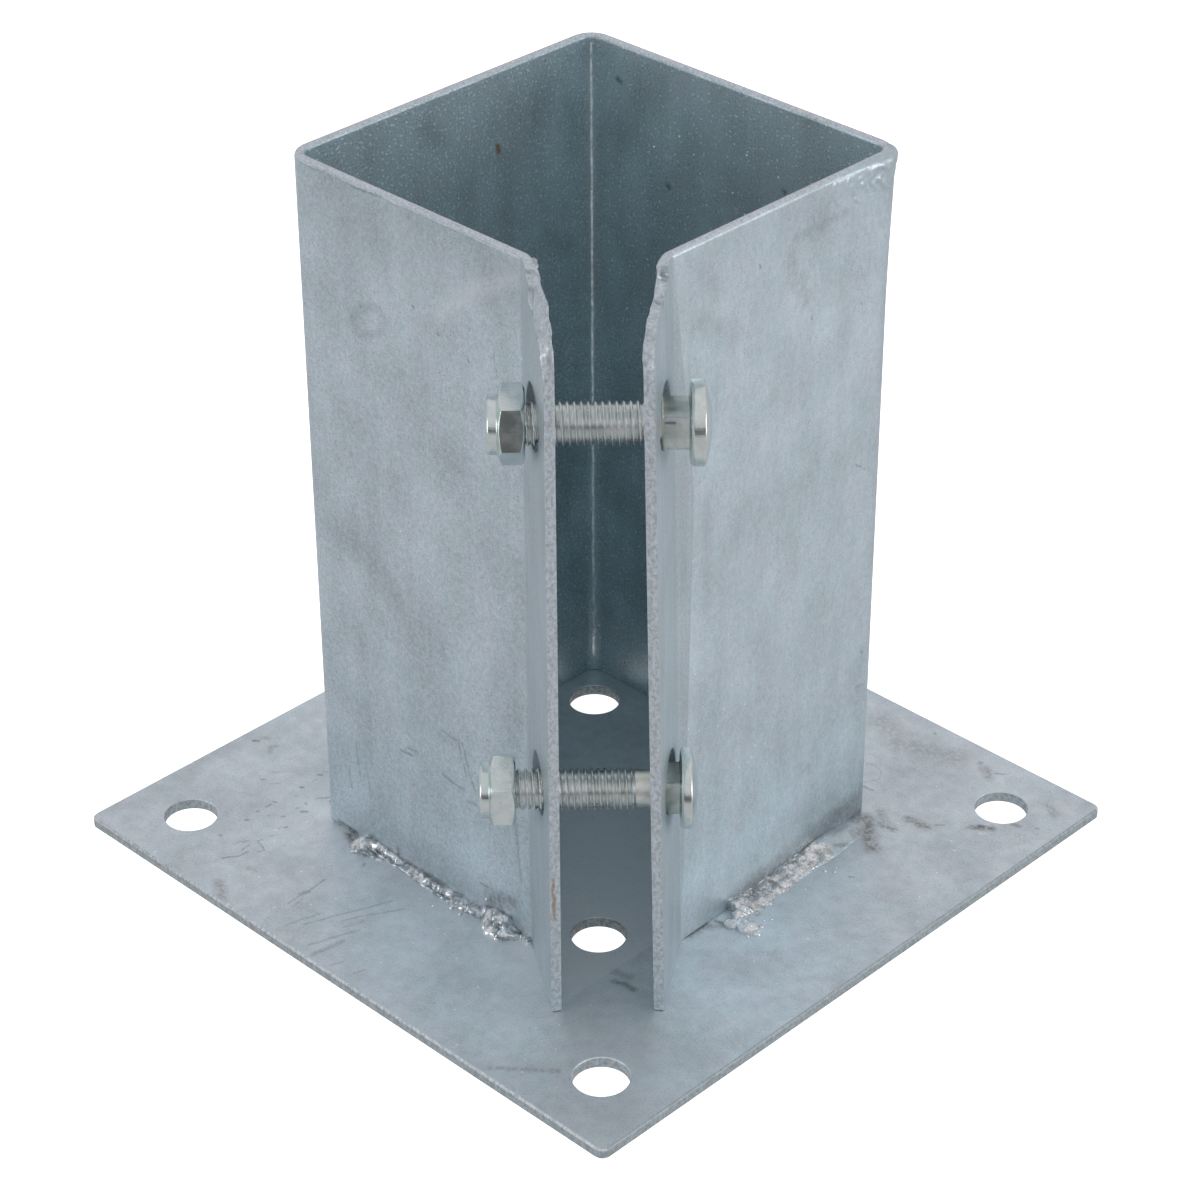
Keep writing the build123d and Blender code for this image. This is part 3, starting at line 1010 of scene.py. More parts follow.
def ridge_swell(travel, share, girth, ridges):
    """How far the ridges and hollows near a spot lift a bead's face, in millimetres."""
    swell = 0.0
    for *numbers, width, height in ridges:
        pairs = zip(numbers[::2], numbers[1::2])
        points = [Vector((along, around * girth)) for along, around in pairs]
        away = off_line(Vector((travel, share * girth)), points)
        swell += height * exp(-((away / width) ** 2))
    return swell


def eased(value, power):
    """Value raised to a power without losing its sign."""
    return abs(value) ** power * (1 if value > 0 else -1)


# A fillet bead: ends of its foot line, how far from them it starts and stops, lengths of its
# tapered ends, its two legs, its ridges and roughness, where it is rough, and the travel at
# which its smooth skin ends. Its rings are oval where hollow is 1 and straight where it is 2.
Bead = namedtuple("Bead", "corners margins ends legs hollow ridges roughness grit skin")


def bead_ring(bead, travel, length, outward, seed):
    """Points across a bead's face at a travel, in millimetres from its foot line."""
    out, up = (steps_at(travel, leg) for leg in bead.legs)
    girth = pi / 2 * sqrt((out**2 + up**2) / 2)
    from_end = min(travel / bead.ends[0], (length - travel) / bead.ends[1], 1)
    taper = sqrt(max(0.02, 1 - (1 - from_end) ** 2))
    nearby = [
        ridge
        for ridge in bead.ridges
        if min(ridge[:-2:2]) - 3 * ridge[-2] < travel < max(ridge[:-2:2]) + 3 * ridge[-2]
    ]
    points = []
    for j in range(bead_arc_steps + 1):
        share = j / bead_arc_steps * 1.04 - 0.02
        angle = share * pi / 2
        swell = ridge_swell(travel, share, girth, nearby)
        for size, height in bead.roughness:
            spot = Vector((travel, share * girth, seed)) / size
            swell += height * steps_at(travel, bead.grit) * noise.noise(spot)
        facing = (outward * up * cos(angle) + UP * out * sin(angle)).normalized()
        base = outward * out * eased(cos(angle), bead.hollow) + UP * up * eased(sin(angle), bead.hollow)
        points.append((base + facing * swell) * taper)
    return points


def in_skin(bead, k, j, seed):
    """Whether a face of a bead lies in its smooth skin: its first part and ragged borders."""
    wander = skin_wander * noise.noise(Vector((k * bead_step, j * bead_step, seed)) / skin_size)
    at_toe = j < 3 + wander or j > bead_arc_steps - 2 + wander
    return k * bead_step + wander < bead.skin or at_toe


def weld_mesh(name, bead, seed):
    """Fillet bead: rings along a foot line. Its skin has the second material."""
    start, finish, outward = foot_line(*bead.corners)
    along = (finish - start).normalized()
    first = start + along * bead.margins[0] * MM
    length = (finish - start).length / MM - sum(bead.margins)
    stations = int(length / bead_step)
    work = bmesh.new()
    rings = []
    for k in range(stations + 1):
        travel = length * k / stations
        centre = first + along * travel * MM
        ring = [work.verts.new(centre - (outward + UP) * bead_sunk * MM)]
        for point in bead_ring(bead, travel, length, outward, seed):
            ring.append(work.verts.new(centre + point * MM))
        rings.append(ring)
    for number, face in enumerate(join_rings(work, rings)):
        k, j = divmod(number, bead_arc_steps + 2)
        face.material_index = int(in_skin(bead, k, j, seed))
    work.faces.new(rings[0])
    work.faces.new(rings[-1])
    return mesh_of(work, name, 80)


def add_welds():
    """Four fillet welds at the socket's foot, the front two as lumpy as they show."""
    reach_out = wall_middle * sqrt(2)
    left_end, right_end, back_end = (-reach_out, 0), (reach_out, 0), (0, reach_out)
    left_bend = (-flange_bend_across, flange_bend_inward)
    right_bend = (flange_bend_across + slot_foot_spread, flange_bend_inward)
    back = ((13.0, 13.0), (1.6, 1.6), (back_leg, back_leg), 1, (), wet_roughness, back_grit, no_skin)
    beads = {
        "front_left": Bead(
            (left_end, left_bend), (11.2, 0.2), (1.0, 0.5), (left_out, left_up), 1, left_ridges,
            wet_roughness, left_grit, no_skin,
        ),
        "front_right": Bead(
            (right_end, right_bend), (3.0, 14.6), (3.0, 0.4), (right_out, right_up), 1.6, right_ridges,
            dry_roughness, right_grit, right_skin,
        ),
        "back_left": Bead((left_end, back_end), *back),
        "back_right": Bead((right_end, back_end), *back),
    }
    for seed, (name, bead) in enumerate(beads.items()):
        mesh = weld_mesh(f"ridged_weld_{name}", bead, 3.0 + 17.0 * seed)
        materials = [rough_weld, bead_skin] if name == "front_right" else [wet_weld, wet_weld]
        add_piece(f"ridged_weld_{name}", mesh, materials, "galvanised_weld", f"weld_bead_{name}")


def add_drops(name, drops, dents, material, slot):
    """Frozen zinc drops: each has its place on a face, and its sizes in millimetres."""
    work = bmesh.new()
    for centre, sizes, fineness in drops:
        shape = Matrix.LocRotScale(centre, None, Vector(sizes) * MM)
        made = bmesh.ops.create_icosphere(work, subdivisions=fineness, radius=1.0, matrix=shape)
        for corner in made["verts"]:
            coarse = noise.noise_vector(corner.co / (1.3 * MM))
            fine = noise.noise_vector(corner.co / (0.5 * MM))
            corner.co += (coarse + fine * 0.4) * dents * min(sizes) * MM
            corner.co.z = max(corner.co.z, (plate_top - 0.3) * MM)
    add_piece(name, mesh_of(work, name, 80), [material], slot)


def add_spatter():
    """Drops thrown beside the two front welds."""
    drops = [(on_plate(x, y), sizes, fineness) for x, y, sizes, fineness in plate_drops]
    drops += [(on_left_wall(x, z), sizes, 2) for x, z, sizes in left_wall_drops]
    drops += [(on_right_wall(y, z), sizes, 2) for y, z, sizes in right_wall_drops]
    add_drops("weld_spatter", drops, 0.2, bright_weld, "galvanised_weld")


def lip_swell_at(travel, height):
    """How far the thick zinc at the right corner stands out from the sheet."""
    near = steps_at(travel, ((-lip_reach, 0), (-3, 1)))
    under = rim_height - 1 - height
    swell = lip_swell * near * exp(-((under / lip_fade) ** 2))
    at_corner = steps_at(travel, ((-6, 0), (0, 1)))
    swell += lip_corner_swell * at_corner * exp(-((under / lip_corner_fade) ** 2))
    wave = noise.noise(Vector((travel / 1.9, height / 1.0, 4))) * exp(-((under / lip_wave_fade) ** 2))
    swell += lip_waves * near * max(wave, -0.2) + ridge_swell(travel, height, 1, lip_wrinkles)
    swell *= steps_at(travel, ((4.4, 1), (lip_wrap - 0.2, 0)))
    share = max(0, (height - rim_height + lip_crown) / lip_crown)
    crown = sqrt(max(0, 1 - share**2))
    at_border = min(near * 4, (height - lip_bottom) / 3, (lip_wrap - travel) / 1.5, 1)
    return swell * crown - (1 - crown) - lip_sunk * (1 - max(0, at_border))


def lip_heights():
    """Heights of the lip's rows, closest together where it rolls over the rim."""
    rows = int((rim_height - lip_crown - lip_bottom) / lip_step)
    heights = [lip_bottom + j * lip_step for j in range(rows)]
    heights += [rim_height - lip_crown * (1 - sin(radians(15 * k))) for k in range(6)]
    return heights + [rim_height - 0.01]


def add_corner_lip():
    """Thick wrinkled zinc round the right corner, rolled over the rim."""
    centre = wall_inside - corner_bend_radius
    radius = corner_bend_radius + sheet_thickness
    heights = lip_heights()
    work = bmesh.new()
    grid = []
    for k in range(int((lip_reach + lip_wrap) / lip_step) + 1):
        travel = -lip_reach + k * lip_step
        angle = max(0, travel) / radius
        column = []
        for height in heights:
            out = radius + lip_swell_at(travel, height)
            x, y = centre + out * cos(angle), centre + out * sin(angle) + min(0, travel)
            column.append(work.verts.new(Vector((x, y, height)) * MM))
        grid.append(column)
    for column, following in zip(grid, grid[1:]):
        for j in range(len(heights) - 1):
            work.faces.new((column[j], following[j], following[j + 1], column[j + 1]))
    mesh = mesh_of(work, "corner_lip", 80)
    add_piece("corner_lip", mesh, [socket_finishes["right_wall"]], "galvanised_sheet")


def add_shear_burrs():
    """Burrs that the shears left on the flanges' top corners."""
    burrs = [(place(*where), sizes, 3) for *where, sizes in shear_burrs]
    add_drops("shear_burrs", burrs, 0.25, burnt_zinc, "galvanised_sheet")


def add_corner_seam():
    """Lumpy thread of zinc that ran down the socket's back corner."""
    corner_inward = wall_inside * sqrt(2) - corner_bend_radius * (sqrt(2) - 1)
    bottom = plate_top + seam_above_plate
    length = rim_height - plate_top - (seam_above_plate + seam_below_rim)
    work = bmesh.new()
    rings = []
    for k in range(seam_rings):
        height = bottom + length * k / (seam_rings - 1)
        proud = seam_height + seam_lumps * noise.noise(Vector((0, 3, height)))
        width = seam_width * (1 + 0.6 * noise.noise(Vector((0, 9, height / 0.7))))
        drift = seam_drift * noise.noise(Vector((0, 5, height / 6)))
        rings.append([
            work.verts.new(place(drift + aside * width, corner_inward - out * proud, height))
            for aside, out in seam_outline
        ])
    join_rings(work, rings)
    add_piece("corner_seam", mesh_of(work, "corner_seam", 20), [seam_zinc], "galvanised_sheet")


def on_open_plate(x, y):
    """Whether a place on the plate is clear of the socket, its flanges and the holes."""
    point = Vector((x, y, 0))
    in_socket = abs(x) < wall_face + 6 and abs(y) < wall_face + 6
    in_slot = point.dot(INWARD) < flange_bend_inward + 4 and abs(point.dot(ACROSS)) < 22
    in_hole = hypot(abs(x) - anchor_reach, abs(y) - anchor_reach) < 7.5
    return not (in_socket or in_slot or in_hole)


def add_zinc_specks():
    """Small frozen zinc beads on the plate and walls, as the dipping leaves them."""
    chance = random.Random(7)
    specks = []
    for face, ranges, count in speck_patches:
        while count:
            spot = [chance.uniform(low, high) for low, high in ranges]
            size = chance.uniform(0.14, 0.3)
            if face is on_plate and not on_open_plate(*spot):
                continue
            specks.append((face(*spot), (size, size, size * 0.45), 1))
            count -= 1
    add_drops("zinc_specks", specks, 0.1, speck_zinc, "galvanised_plate")
    sparkles = []
    for _ in range(sparkle_count):
        spot = on_inner_right(chance.uniform(-34, 20), chance.uniform(90, 150))
        size = chance.uniform(0.12, 0.3)
        sparkles.append((spot, (size, size, size), 1))
    add_drops("inner_sparkles", sparkles, 0.1, speck_zinc, "galvanised_sheet")


def add_floor():
    """Plain pale floor, bright enough to read as white."""
    mesh = bpy.data.meshes.new("floor")
    sides = ((-1, -1), (1, -1), (1, 1), (-1, 1))
    corners = [(x * floor_half, y * floor_half, floor_height) for x, y in sides]
    mesh.from_pydata(corners, [], [(0, 1, 2, 3)])
    ground = bpy.data.objects.new("floor", mesh)
    bpy.context.scene.collection.objects.link(ground)
    pale = bpy.data.materials.new("pale_floor")
    pale.use_nodes = True
    shader = pale.node_tree.nodes["Principled BSDF"]
    shader.inputs["Base Color"].default_value = (0.92, 0.92, 0.92, 1)
    shader.inputs["Roughness"].default_value = 0.9
    shader.inputs["Emission Color"].default_value = (1, 1, 1, 1)
    shader.inputs["Emission Strength"].default_value = 1.0
    mesh.materials.append(pale)
    ground.visible_diffuse = False
    ground.visible_glossy = False


def add_light(name, where, power):
    """Square soft light aimed at the socket."""
    lamp = bpy.data.lights.new(name, "AREA")
    lamp.size = light_size
    lamp.energy = power
    light = bpy.data.objects.new(name, lamp)
    light.location = place(*where)
    aim = light_aim - light.location
    light.rotation_euler = aim.to_track_quat("-Z", "Y").to_euler()
    bpy.context.scene.collection.objects.link(light)


def add_dome():
    """Pale dome of light with a dim band of the room behind the camera."""
    world = bpy.data.worlds.new("studio")
    bpy.context.scene.world = world
    world.use_nodes = True
    tree = Tree(world.node_tree)
    direction = tree.node("ShaderNodeTexCoord").outputs["Generated"]
    height = tree.node("ShaderNodeSeparateXYZ", {0: direction}).outputs["Z"]
    towards = tree.vector("DOT_PRODUCT", direction, tuple(-INWARD))
    below, level_with, above = dome_brightness
    lower = tree.level(height, -1.0, 0.0, below, level_with)
    upper = tree.level(height, 0.0, 1.0, 0.0, above - level_with)
    dome = tree.math("ADD", lower, upper)
    off_band = tree.math("ABSOLUTE", tree.math("SUBTRACT", height, room_height))
    band = tree.level(off_band, *room_fade, 1.0, 0.0)
    behind = tree.level(towards, *room_spread)
    share = tree.math("MULTIPLY", band, behind)
    brightness = tree.node("ShaderNodeMix", {"Factor": share, 2: dome, 3: room_brightness}).outputs[0]
    colour = tree.vector("SCALE", dome_tint, brightness)
    tree.links.new(colour, tree.nodes["Background"].inputs["Color"])


def add_camera():
    """Camera at the photograph's place, aim and lens."""
    camera = bpy.data.objects.new("camera", bpy.data.cameras.new("camera"))
    camera.data.lens = camera_lens
    camera.data.sensor_width = camera_sensor
    camera.data.clip_end = camera_reach
    level = ACROSS * sin(camera_yaw) + INWARD * cos(camera_yaw)
    forward = level * cos(camera_pitch) - UP * sin(camera_pitch)
    sideways = ACROSS * cos(camera_yaw) - INWARD * sin(camera_yaw)
    upward = sideways.cross(forward)
    right = sideways * cos(camera_roll) + upward * sin(camera_roll)
    above = upward * cos(camera_roll) - sideways * sin(camera_roll)
    turn = Matrix((right, above, -forward)).transposed().to_4x4()
    camera.matrix_world = Matrix.Translation(place(*camera_place)) @ turn
    bpy.context.scene.collection.objects.link(camera)
    bpy.context.scene.camera = camera


# Zinc specks: face, ranges of its two places, and how many
plate_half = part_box("base_plate")[1].x / MM - 1.5
speck_patches = (
    (on_plate, ((-plate_half, plate_half), (-plate_half, plate_half)), 50),
    (on_plate, ((wall_face, plate_half), (-plate_half, plate_half)), 90),
    (on_plate, ((46, 70), (-34, -10)), 25),
    (on_right_wall, ((-14, 36), (6, 60)), 70),
    (on_right_wall, ((-14, 36), (60, 150)), 14),
)
sparkle_count = 34

# Marks on each face: places of their points in millimetres, half width and strength
left_wall_marks = {
    "dark": (
        (-2.6, 42, 2, 41.6, 0.28, 0.5), (2.3, 41.8, 3, 38.2, 4.2, 34.2, 0.25, 0.55),
        (3.4, 41.8, 4.1, 39.6, 4.7, 36.6, 5.9, 33.6, 6.7, 32, 0.32, 0.45),
        (-2.5, 31.3, 3.4, 30.7, 0.6, 0.45), (-14.8, 31.3, -11.7, 31.5, 0.5, 0.55),
        (-12.6, 32.8, -10, 33, 0.7, 0.35), (4.7, 28.4, 6.8, 28.6, 0.6, 0.4),
        (10.4, 45.9, 11.4, 46, 0.28, 0.5), (-8, 54, -7.2, 53.9, 0.3, 0.4),
        (-7.8, 52, -7.4, 51.6, 0.3, 0.35), (-28.5, 26.4, -27.5, 17.6, 0.4, 0.28),
        (-30.9, 19, -30.5, 14.2, 0.5, 0.3), (-25.7, 22.3, -24.4, 13.7, 0.5, 0.18),
        (17.8, 29.8, 19.3, 16.3, 0.55, 0.32), (7.3, 9.8, 10.5, 9.8, 0.35, 0.7),
        (-6.4, 134.1, -6.2, 133.8, 0.3, 0.7), (0.1, 130.8, 0.3, 130.5, 0.3, 0.7),
        (8.6, 134.7, 8.8, 134.4, 0.25, 0.6), (7.8, 128.1, 8.1, 127.8, 0.3, 0.7),
        (3, 138.5, 3.3, 138.2, 0.3, 0.6), (14.6, 131.9, 15.5, 127.3, 0.2, 0.4),
        (12.2, 147.4, 14.2, 146.5, 16.6, 148.5, 0.3, 0.45), (12.6, 144.6, 16, 146.3, 0.3, 0.4),
        (
            -23.4, 125.3, -20.4, 128.9, -16, 130.1, -13.6, 128.1, -16.9, 124, -21.9, 122.5,
            -23.4, 125.3, 1.3, 0.2,
        ),
        (-17.6, 57.9, -17.5, 56.6, 0.5, 0.25), (7.6, 56.2, 7.8, 55.4, 0.3, 0.4),
        (-17, 5.7, -16.9, 4.1, 0.9, 0.75), (-30, 6, 20, 6, 8, 0.22),
        (-36, 153, -24, 153.1, 10, 153.2, 0.35, 0.4), (-23, 152.9, -13.6, 153.2, 0.45, 0.6),
        (-38, 151, 14, 151, 16, 0.2), (9.5, 7, 14.5, 8.6, 1.3, 0.3), (-31.8, 3, -29.6, 3, 1.1, 0.8),
    ),
    "brown": (
        (-28.5, 77, -14.7, 66.9, 5, 0.2), (-30.4, 3, -29.7, -0.8, 1, 0.9),
        (-34.9, 3.3, -31.2, 3.4, 0.9, 0.8), (-26.8, 4.1, -16.5, 3.8, -4.5, 3.9, 0.6, 0.5),
        (10.5, 7.4, 13, 8.7, 16.2, 9.8, 2.6, 0.62), (13, 7.2, 13.8, 6.1, 0.7, 0.8),
        (16.9, 3, 18.9, 3.6, 0.7, 0.9), (-3.3, 40, -1, 40.1, 1.5, 0.22),
    ),
    "pale": (
        (0.9, 135.4, 10.3, 143.1, 19.8, 148.7, 2.4, 0.3),
    ),
}
right_wall_marks = {
    "dark": (
        (-17.4, 150.9, -10, 143, 4.5, 0.2), (-14.6, 138.4, -6, 132.1, 4, 0.2),
        (10.6, 145.7, 24.9, 145.9, 1.8, 0.26), (1, 143.6, 1.3, 143.1, 0.45, 0.7),
        (15.7, 127.7, 16, 127.1, 0.35, 0.6), (30, 125.5, 30.3, 124.9, 0.35, 0.6),
        (34.9, 140.8, 36.4, 136.5, 0.35, 0.5), (30.5, 90, 33.4, 87.9, 0.35, 0.45),
        (-13.9, 105.2, -9.8, 99.1, -8.8, 92.2, -12.2, 87.2, -15.6, 93, 0.6, 0.16),
        (-12.5, 100.3, -12.6, 77.4, 2.2, 0.14), (34.6, 45, 35, 44.3, 0.4, 0.6),
        (33.4, 36.6, 36.7, 36.2, 0.35, 0.3), (-1.1, 49.3, -2.2, 48.8, 0.4, 0.4),
        (-5.5, 60.3, -5.2, 59.7, 0.4, 0.35), (15.8, 23.8, 19.4, 24.7, 0.9, 0.32),
        (3.3, 21, 3.7, 20.4, 0.5, 0.6), (36.6, 7.4, 37.2, 2.7, 1.4, 0.5),
        (29.3, 6, 36.5, 3.8, 1.8, 0.45), (6.5, 4.9, 18.1, 6.8, 1.6, 0.3), (-3, 4, 38, 5, 6, 0.55),
        (6, 5, 38, 8, 5, 0.5), (22, 5.5, 37, 4, 1.2, 0.3), (0.5, 3.1, 1.4, 3.2, 0.5, 0.7),
        (-5.9, 5, -5.5, 0, 0.8, 0.95), (-16, 151, 36, 151, 13, 0.13), (-16, 6, 38, 9, 10, 0.22),
    ),
    "brown": (
        (9.3, 142.1, 14.2, 131.7, 2.8, 0.22), (16.3, 26.3, 19.2, 23.1, 1.6, 0.2),
        (18.9, 9.2, 20.8, 8.7, 1.2, 0.35), (32.3, 3.4, 37.1, 3.5, 1.6, 0.7),
        (0, 4.5, 18, 6, 34, 7, 3.4, 0.4),
    ),
    "pale": (
        (7.7, 33.3, 7.8, 32.3, 0.25, 0.7), (12.6, 14.9, 9, 11.7, 0.2, 0.45),
    ),
}
plate_marks_with_painted_light_and_shadow = {
    "dark": (
        (-45.8, -60.8, -45.4, -58.7, 0.28, 0.45), (-44.8, -58.7, -44.4, -57.2, 0.28, 0.5),
        (-42.9, -60.6, -43.1, -58.6, 0.32, 0.55),
        (-43.7, -65.2, -42.5, -63.4, -41.7, -62.2, -41.7, -60.1, 0.4, 0.5),
        (-43, -56.4, -42.6, -55.3, 0.28, 0.4),
        (-42.8, -56.4, -41.1, -56.9, -39.7, -57.5, -40, -58.8, 0.32, 0.5),
        (-50.2, -53.3, -50, -53, 0.4, 0.6), (-50.2, -60.5, -49.9, -60.4, 0.4, 0.55),
        (-50, -57.8, -49.8, -57.7, 0.35, 0.4), (-42.3, -53.2, -42.2, -52.8, 0.35, 0.5),
        (-42.5, -49.4, -42.2, -48.9, 0.35, 0.6), (-43, -50.3, -43.2, -50, 0.3, 0.4),
        (-22.5, -65.7, -22.9, -61.8, 0.3, 0.4), (-22.9, -61.8, -22.6, -60.4, 0.75, 0.5),
        (-22.6, -60.4, -23, -57.7, -23.3, -55.3, 0.38, 0.42),
        (-20.8, -66.3, -21.8, -62.3, 0.28, 0.35),
        (-17.3, -70.7, -16.7, -67.8, -15.2, -63.6, 0.35, 0.32),
        (-15, -68.4, -13, -62.7, -10.2, -56.4, -8.1, -50.7, 0.35, 0.34),
        (-10.5, -62, -7.7, -56.4, -4.4, -50.9, 0.35, 0.3), (-8.7, -63.2, -7.2, -59.1, 0.3, 0.32),
        (-9.4, -71.9, -7.4, -66.3, -5.8, -61.9, 0.5, 0.3), (-6.5, -73.5, -5.5, -66.5, 0.8, 0.3),
        (-1.5, -73, -0.5, -70.6, 0.3, 0.35), (3.8, -71.8, 4.3, -69.3, 0.28, 0.38),
        (-71.3, -33.2, -70.6, -32.6, 0.6, 0.75),
        (-66.3, -31.1, -66.8, -32.2, -65.1, -33.6, 0.9, 0.28),
        (-70.7, -31.3, -69.5, -30.3, 0.8, 0.25), (-59.4, -38.1, -57.2, -35.6, 0.22, 0.35),
        (-51.6, -32, -51, -31.3, 0.42, 0.65), (-51.6, -30.2, -50.6, -29.2, 0.3, 0.32),
        (-50.8, -34.4, -50.7, -33.2, 0.28, 0.45), (-59, -41.4, -58.7, -40.8, 0.35, 0.45),
        (-56.4, -40.9, -55, -39.4, 0.22, 0.35), (-51, -37.5, -50.5, -37.2, 0.42, 0.65),
        (-45.5, -37.9, -43.8, -35.7, 0.32, 0.55), (-42.7, -36.5, -42.4, -36.5, 0.4, 0.5),
        (-49.4, -40.5, -49.1, -40.3, 0.35, 0.45), (-51.1, -44.8, -50.7, -44.6, 0.45, 0.5),
        (-50.7, -47.2, -50.9, -45.9, 0.38, 0.5), (-46, -40.5, -45.5, -40.7, 0.4, 0.5),
        (-45.9, -43.1, -45.8, -42.8, 0.35, 0.35), (-44.3, -43.2, -43.5, -42.5, 0.5, 0.65),
        (-50.9, -49.6, -50.8, -49.2, 0.42, 0.5), (-48, -49, -48, -48.8, 0.35, 0.35),
        (-45.8, -47.1, -45.7, -46.8, 0.42, 0.55), (32.5, 71.4, 32.7, 71.4, 0.45, 0.65),
        (29.3, 52.4, 31.1, 53.4, 33.7, 52.4, 35, 49.8, 33.6, 47, 0.32, 0.25),
        (34.5, 45.7, 36.6, 46, 0.45, 0.4), (46.7, 69.3, 46.7, 69.8, 0.8, 0.45),
        (51.4, 68.8, 53.5, 70.3, 0.38, 0.5), (54, 45.5, 55.5, 46.9, 0.32, 0.45),
        (60.9, 51.7, 61.4, 52.2, 0.75, 0.8), (69.9, 59.2, 70.2, 59.3, 0.45, 0.45),
        # The next stroke, along the foot of the right wall near its bend, is a painted shadow line
        (42.1, -19.3, 42.4, -17.9, 42.6, -14.5, 42.5, -11.8, 0.42, 0.9),
        (43.3, -10.1, 45.3, -9.5, 0.6, 0.7), (45.4, -5.1, 46, -4.7, 0.5, 0.8),
        (-21, -47, -21.3, -46.2, 0.4, 0.5), (53, 19.6, 53.6, 20.2, 0.35, 0.6),
        (21.6, -40.6, 24.1, -41.7, 26, -42.9, 0.5, 0.6),
        (42, -38, 44.6, -37, 46.6, -37.2, 1.0, 0.6), (39, -36, 43, -35, 1.4, 0.35),
    ),
    "brown": (
        (-37.3, -63.8, -35.8, -63.2, 1.3, 0.35), (-38, -71, -32.8, -74.3, 1.8, 0.4),
        (43.2, -72.8, 53, -64.5, 0.9, 0.38), (20.8, 67.1, 30.8, 63.6, 41.6, 67.3, 4.5, 0.3),
        (48.7, 68.4, 51.5, 66.6, 1.7, 0.45), (48.7, 43.3, 53.3, 43.8, 1.6, 0.7),
        (45.8, 38, 48.5, 38.2, 1.5, 0.6), (59.9, 50.2, 63.4, 52.7, 1.3, 0.8),
        (65.8, 57, 66.8, 57.4, 1, 0.5), (66.2, 67.7, 69.8, 65.7, 1.4, 0.4),
        (42.1, 37.4, 49.8, 30.3, 2.4, 0.75), (42.9, 41.1, 47.3, 38.5, 1.6, 0.4),
        (42.6, -17.5, 43, -13, 45, -10.2, 1.6, 0.55), (-41.6, -36.4, -35.5, -40.8, 1.2, 0.6),
        (-31, -41.6, -27.4, -43, 1.6, 0.85), (-25.4, -43.8, -24.6, -43.9, 0.6, 0.6),
        (45.6, -2.8, 47.7, -2.6, 1, 0.5), (41.9, -3.2, 42.7, -3.6, 0.5, 0.8),
    ),
    "pale": (
        (71.1, 51, 72.5, 53.2, 1.2, 0.6), (67.7, 70.1, 71.4, 68.8, 1.4, 0.4),
        # The stroke from (4, -4) to (34, -34), half width 22, is painted light: a pale pool on the plate
        # inside the socket
        (-49.9, -44.7, -49.7, -44.7, 0.3, 0.7), (4, -4, 34, -34, 22, 1.0),
        (28.4, -39.6, 29.8, -38, 0.3, 0.9), (29.6, -36.6, 31, -35.2, 0.3, 0.9),
        (33.2, -37.6, 35, -36.4, 0.28, 0.8), (31.4, -38.4, 32.2, -37.8, 0.25, 0.8),
        (34.6, -41.6, 36.2, -39.4, 0.6, 0.9), (38.2, -40.8, 39.4, -39.8, 0.35, 0.8),
    ),
}
# Places on the beads are along the wall and out from it
right_bead_marks_and_shadow = {
    "dark": (
        # The strokes at y = -4.6 and from (-4.2, 2.6) are painted shadow at the bead's end
        (24.7, 3.9, 27.9, 5.2, 31.1, 6, 0.7, 0.6), (-4.6, 1.5, -4.6, 3.5, 0.6, 0.8),
        (-4.2, 2.6, -3.6, 2.9, 0.5, 0.6), (20, 0.3, 38, 0.3, 1.0, 0.35),
    ),
    "brown": (
        (31, 4.5, 37, 4, 2.2, 0.65), (34, 1, 38, 1.5, 1.6, 0.6), (-1.5, 2.2, -0.8, 2.4, 0.7, 0.5),
    ),
}
left_bead_marks = {
    "dark": (
        (-23.6, 1.6, -18.4, 1.2, 0.7, 0.75), (-7.2, 1.4, -3.5, 1.2, 0.45, 0.6),
        (-2, 1.2, 0.5, 1, 0.45, 0.5), (15.2, 1.6, 15.6, 1.8, 0.7, 0.7),
        (11.9, 1.3, 12.1, 1.4, 0.5, 0.6), (9.8, 2.1, 10, 2.2, 0.45, 0.6),
        (12.8, 2, 13, 2.1, 0.45, 0.5), (-30.2, 2, -29, 3.6, 0.8, 0.6),
    ),
    "brown": ((17.8, 0.6, 18.8, 0.4, 0.9, 0.9), (9, 0.8, 14, 0.2, 1.5, 0.4)),
}
inner_left_marks = {
    "dark": (
        (12.4, 137.8, 12.7, 137, 0.5, 0.8), (-6.8, 148, -3, 144.3, 3.5, 0.25),
        (26.5, 112.9, 31.1, 109.5, 4, 0.25),
    ),
    "rust": (
        (12.1, 137.9, 12.7, 136.7, 0.75, 1.0),
    ),
}
inner_right_marks = {
    "dark": (
        (-31.4, 146.3, -30.4, 145.9, 0.8, 0.8), (-17.3, 127.5, -17.2, 127.3, 0.9, 0.9),
        (13.3, 136.3, 13.5, 136.1, 0.8, 0.8), (-36, 128, -20, 150, 6, 0.15),
        (-10, 140, 30, 120, 9, 0.15),
    ),
}
neck_highlight_and_marks = {
    # The pale stroke on the upper neck's corner is a painted highlight
    "pale": ((0.5, 2.6, 4.6, 3.0, 0.7, 1.0),),
    "dark": ((2.9, 2.0, 4.2, 2.0, 0.4, 0.9),),
}
# Places on the cut edges are across and height
cut_edge_marks = {
    "rust": ((-8.7, 34.5, -8.6, 25, 0.45, 0.8),),
    "dark": (
        (12.2, 150.6, 10.6, 149.4, 1.1, 0.6), (-11.6, 150.3, -10.4, 150.3, 1.6, 0.35),
        (-9.9, 137.5, -9.2, 131.5, 0.35, 0.5),
    ),
}


def marks_within(low, high):
    """Marks of the plate, with its painted light and shadow, that reach between two values of x."""
    return {
        kind: [mark for mark in marks if min(mark[:-2:2]) < high and max(mark[:-2:2]) > low]
        for kind, marks in plate_marks_with_painted_light_and_shadow.items()
    }


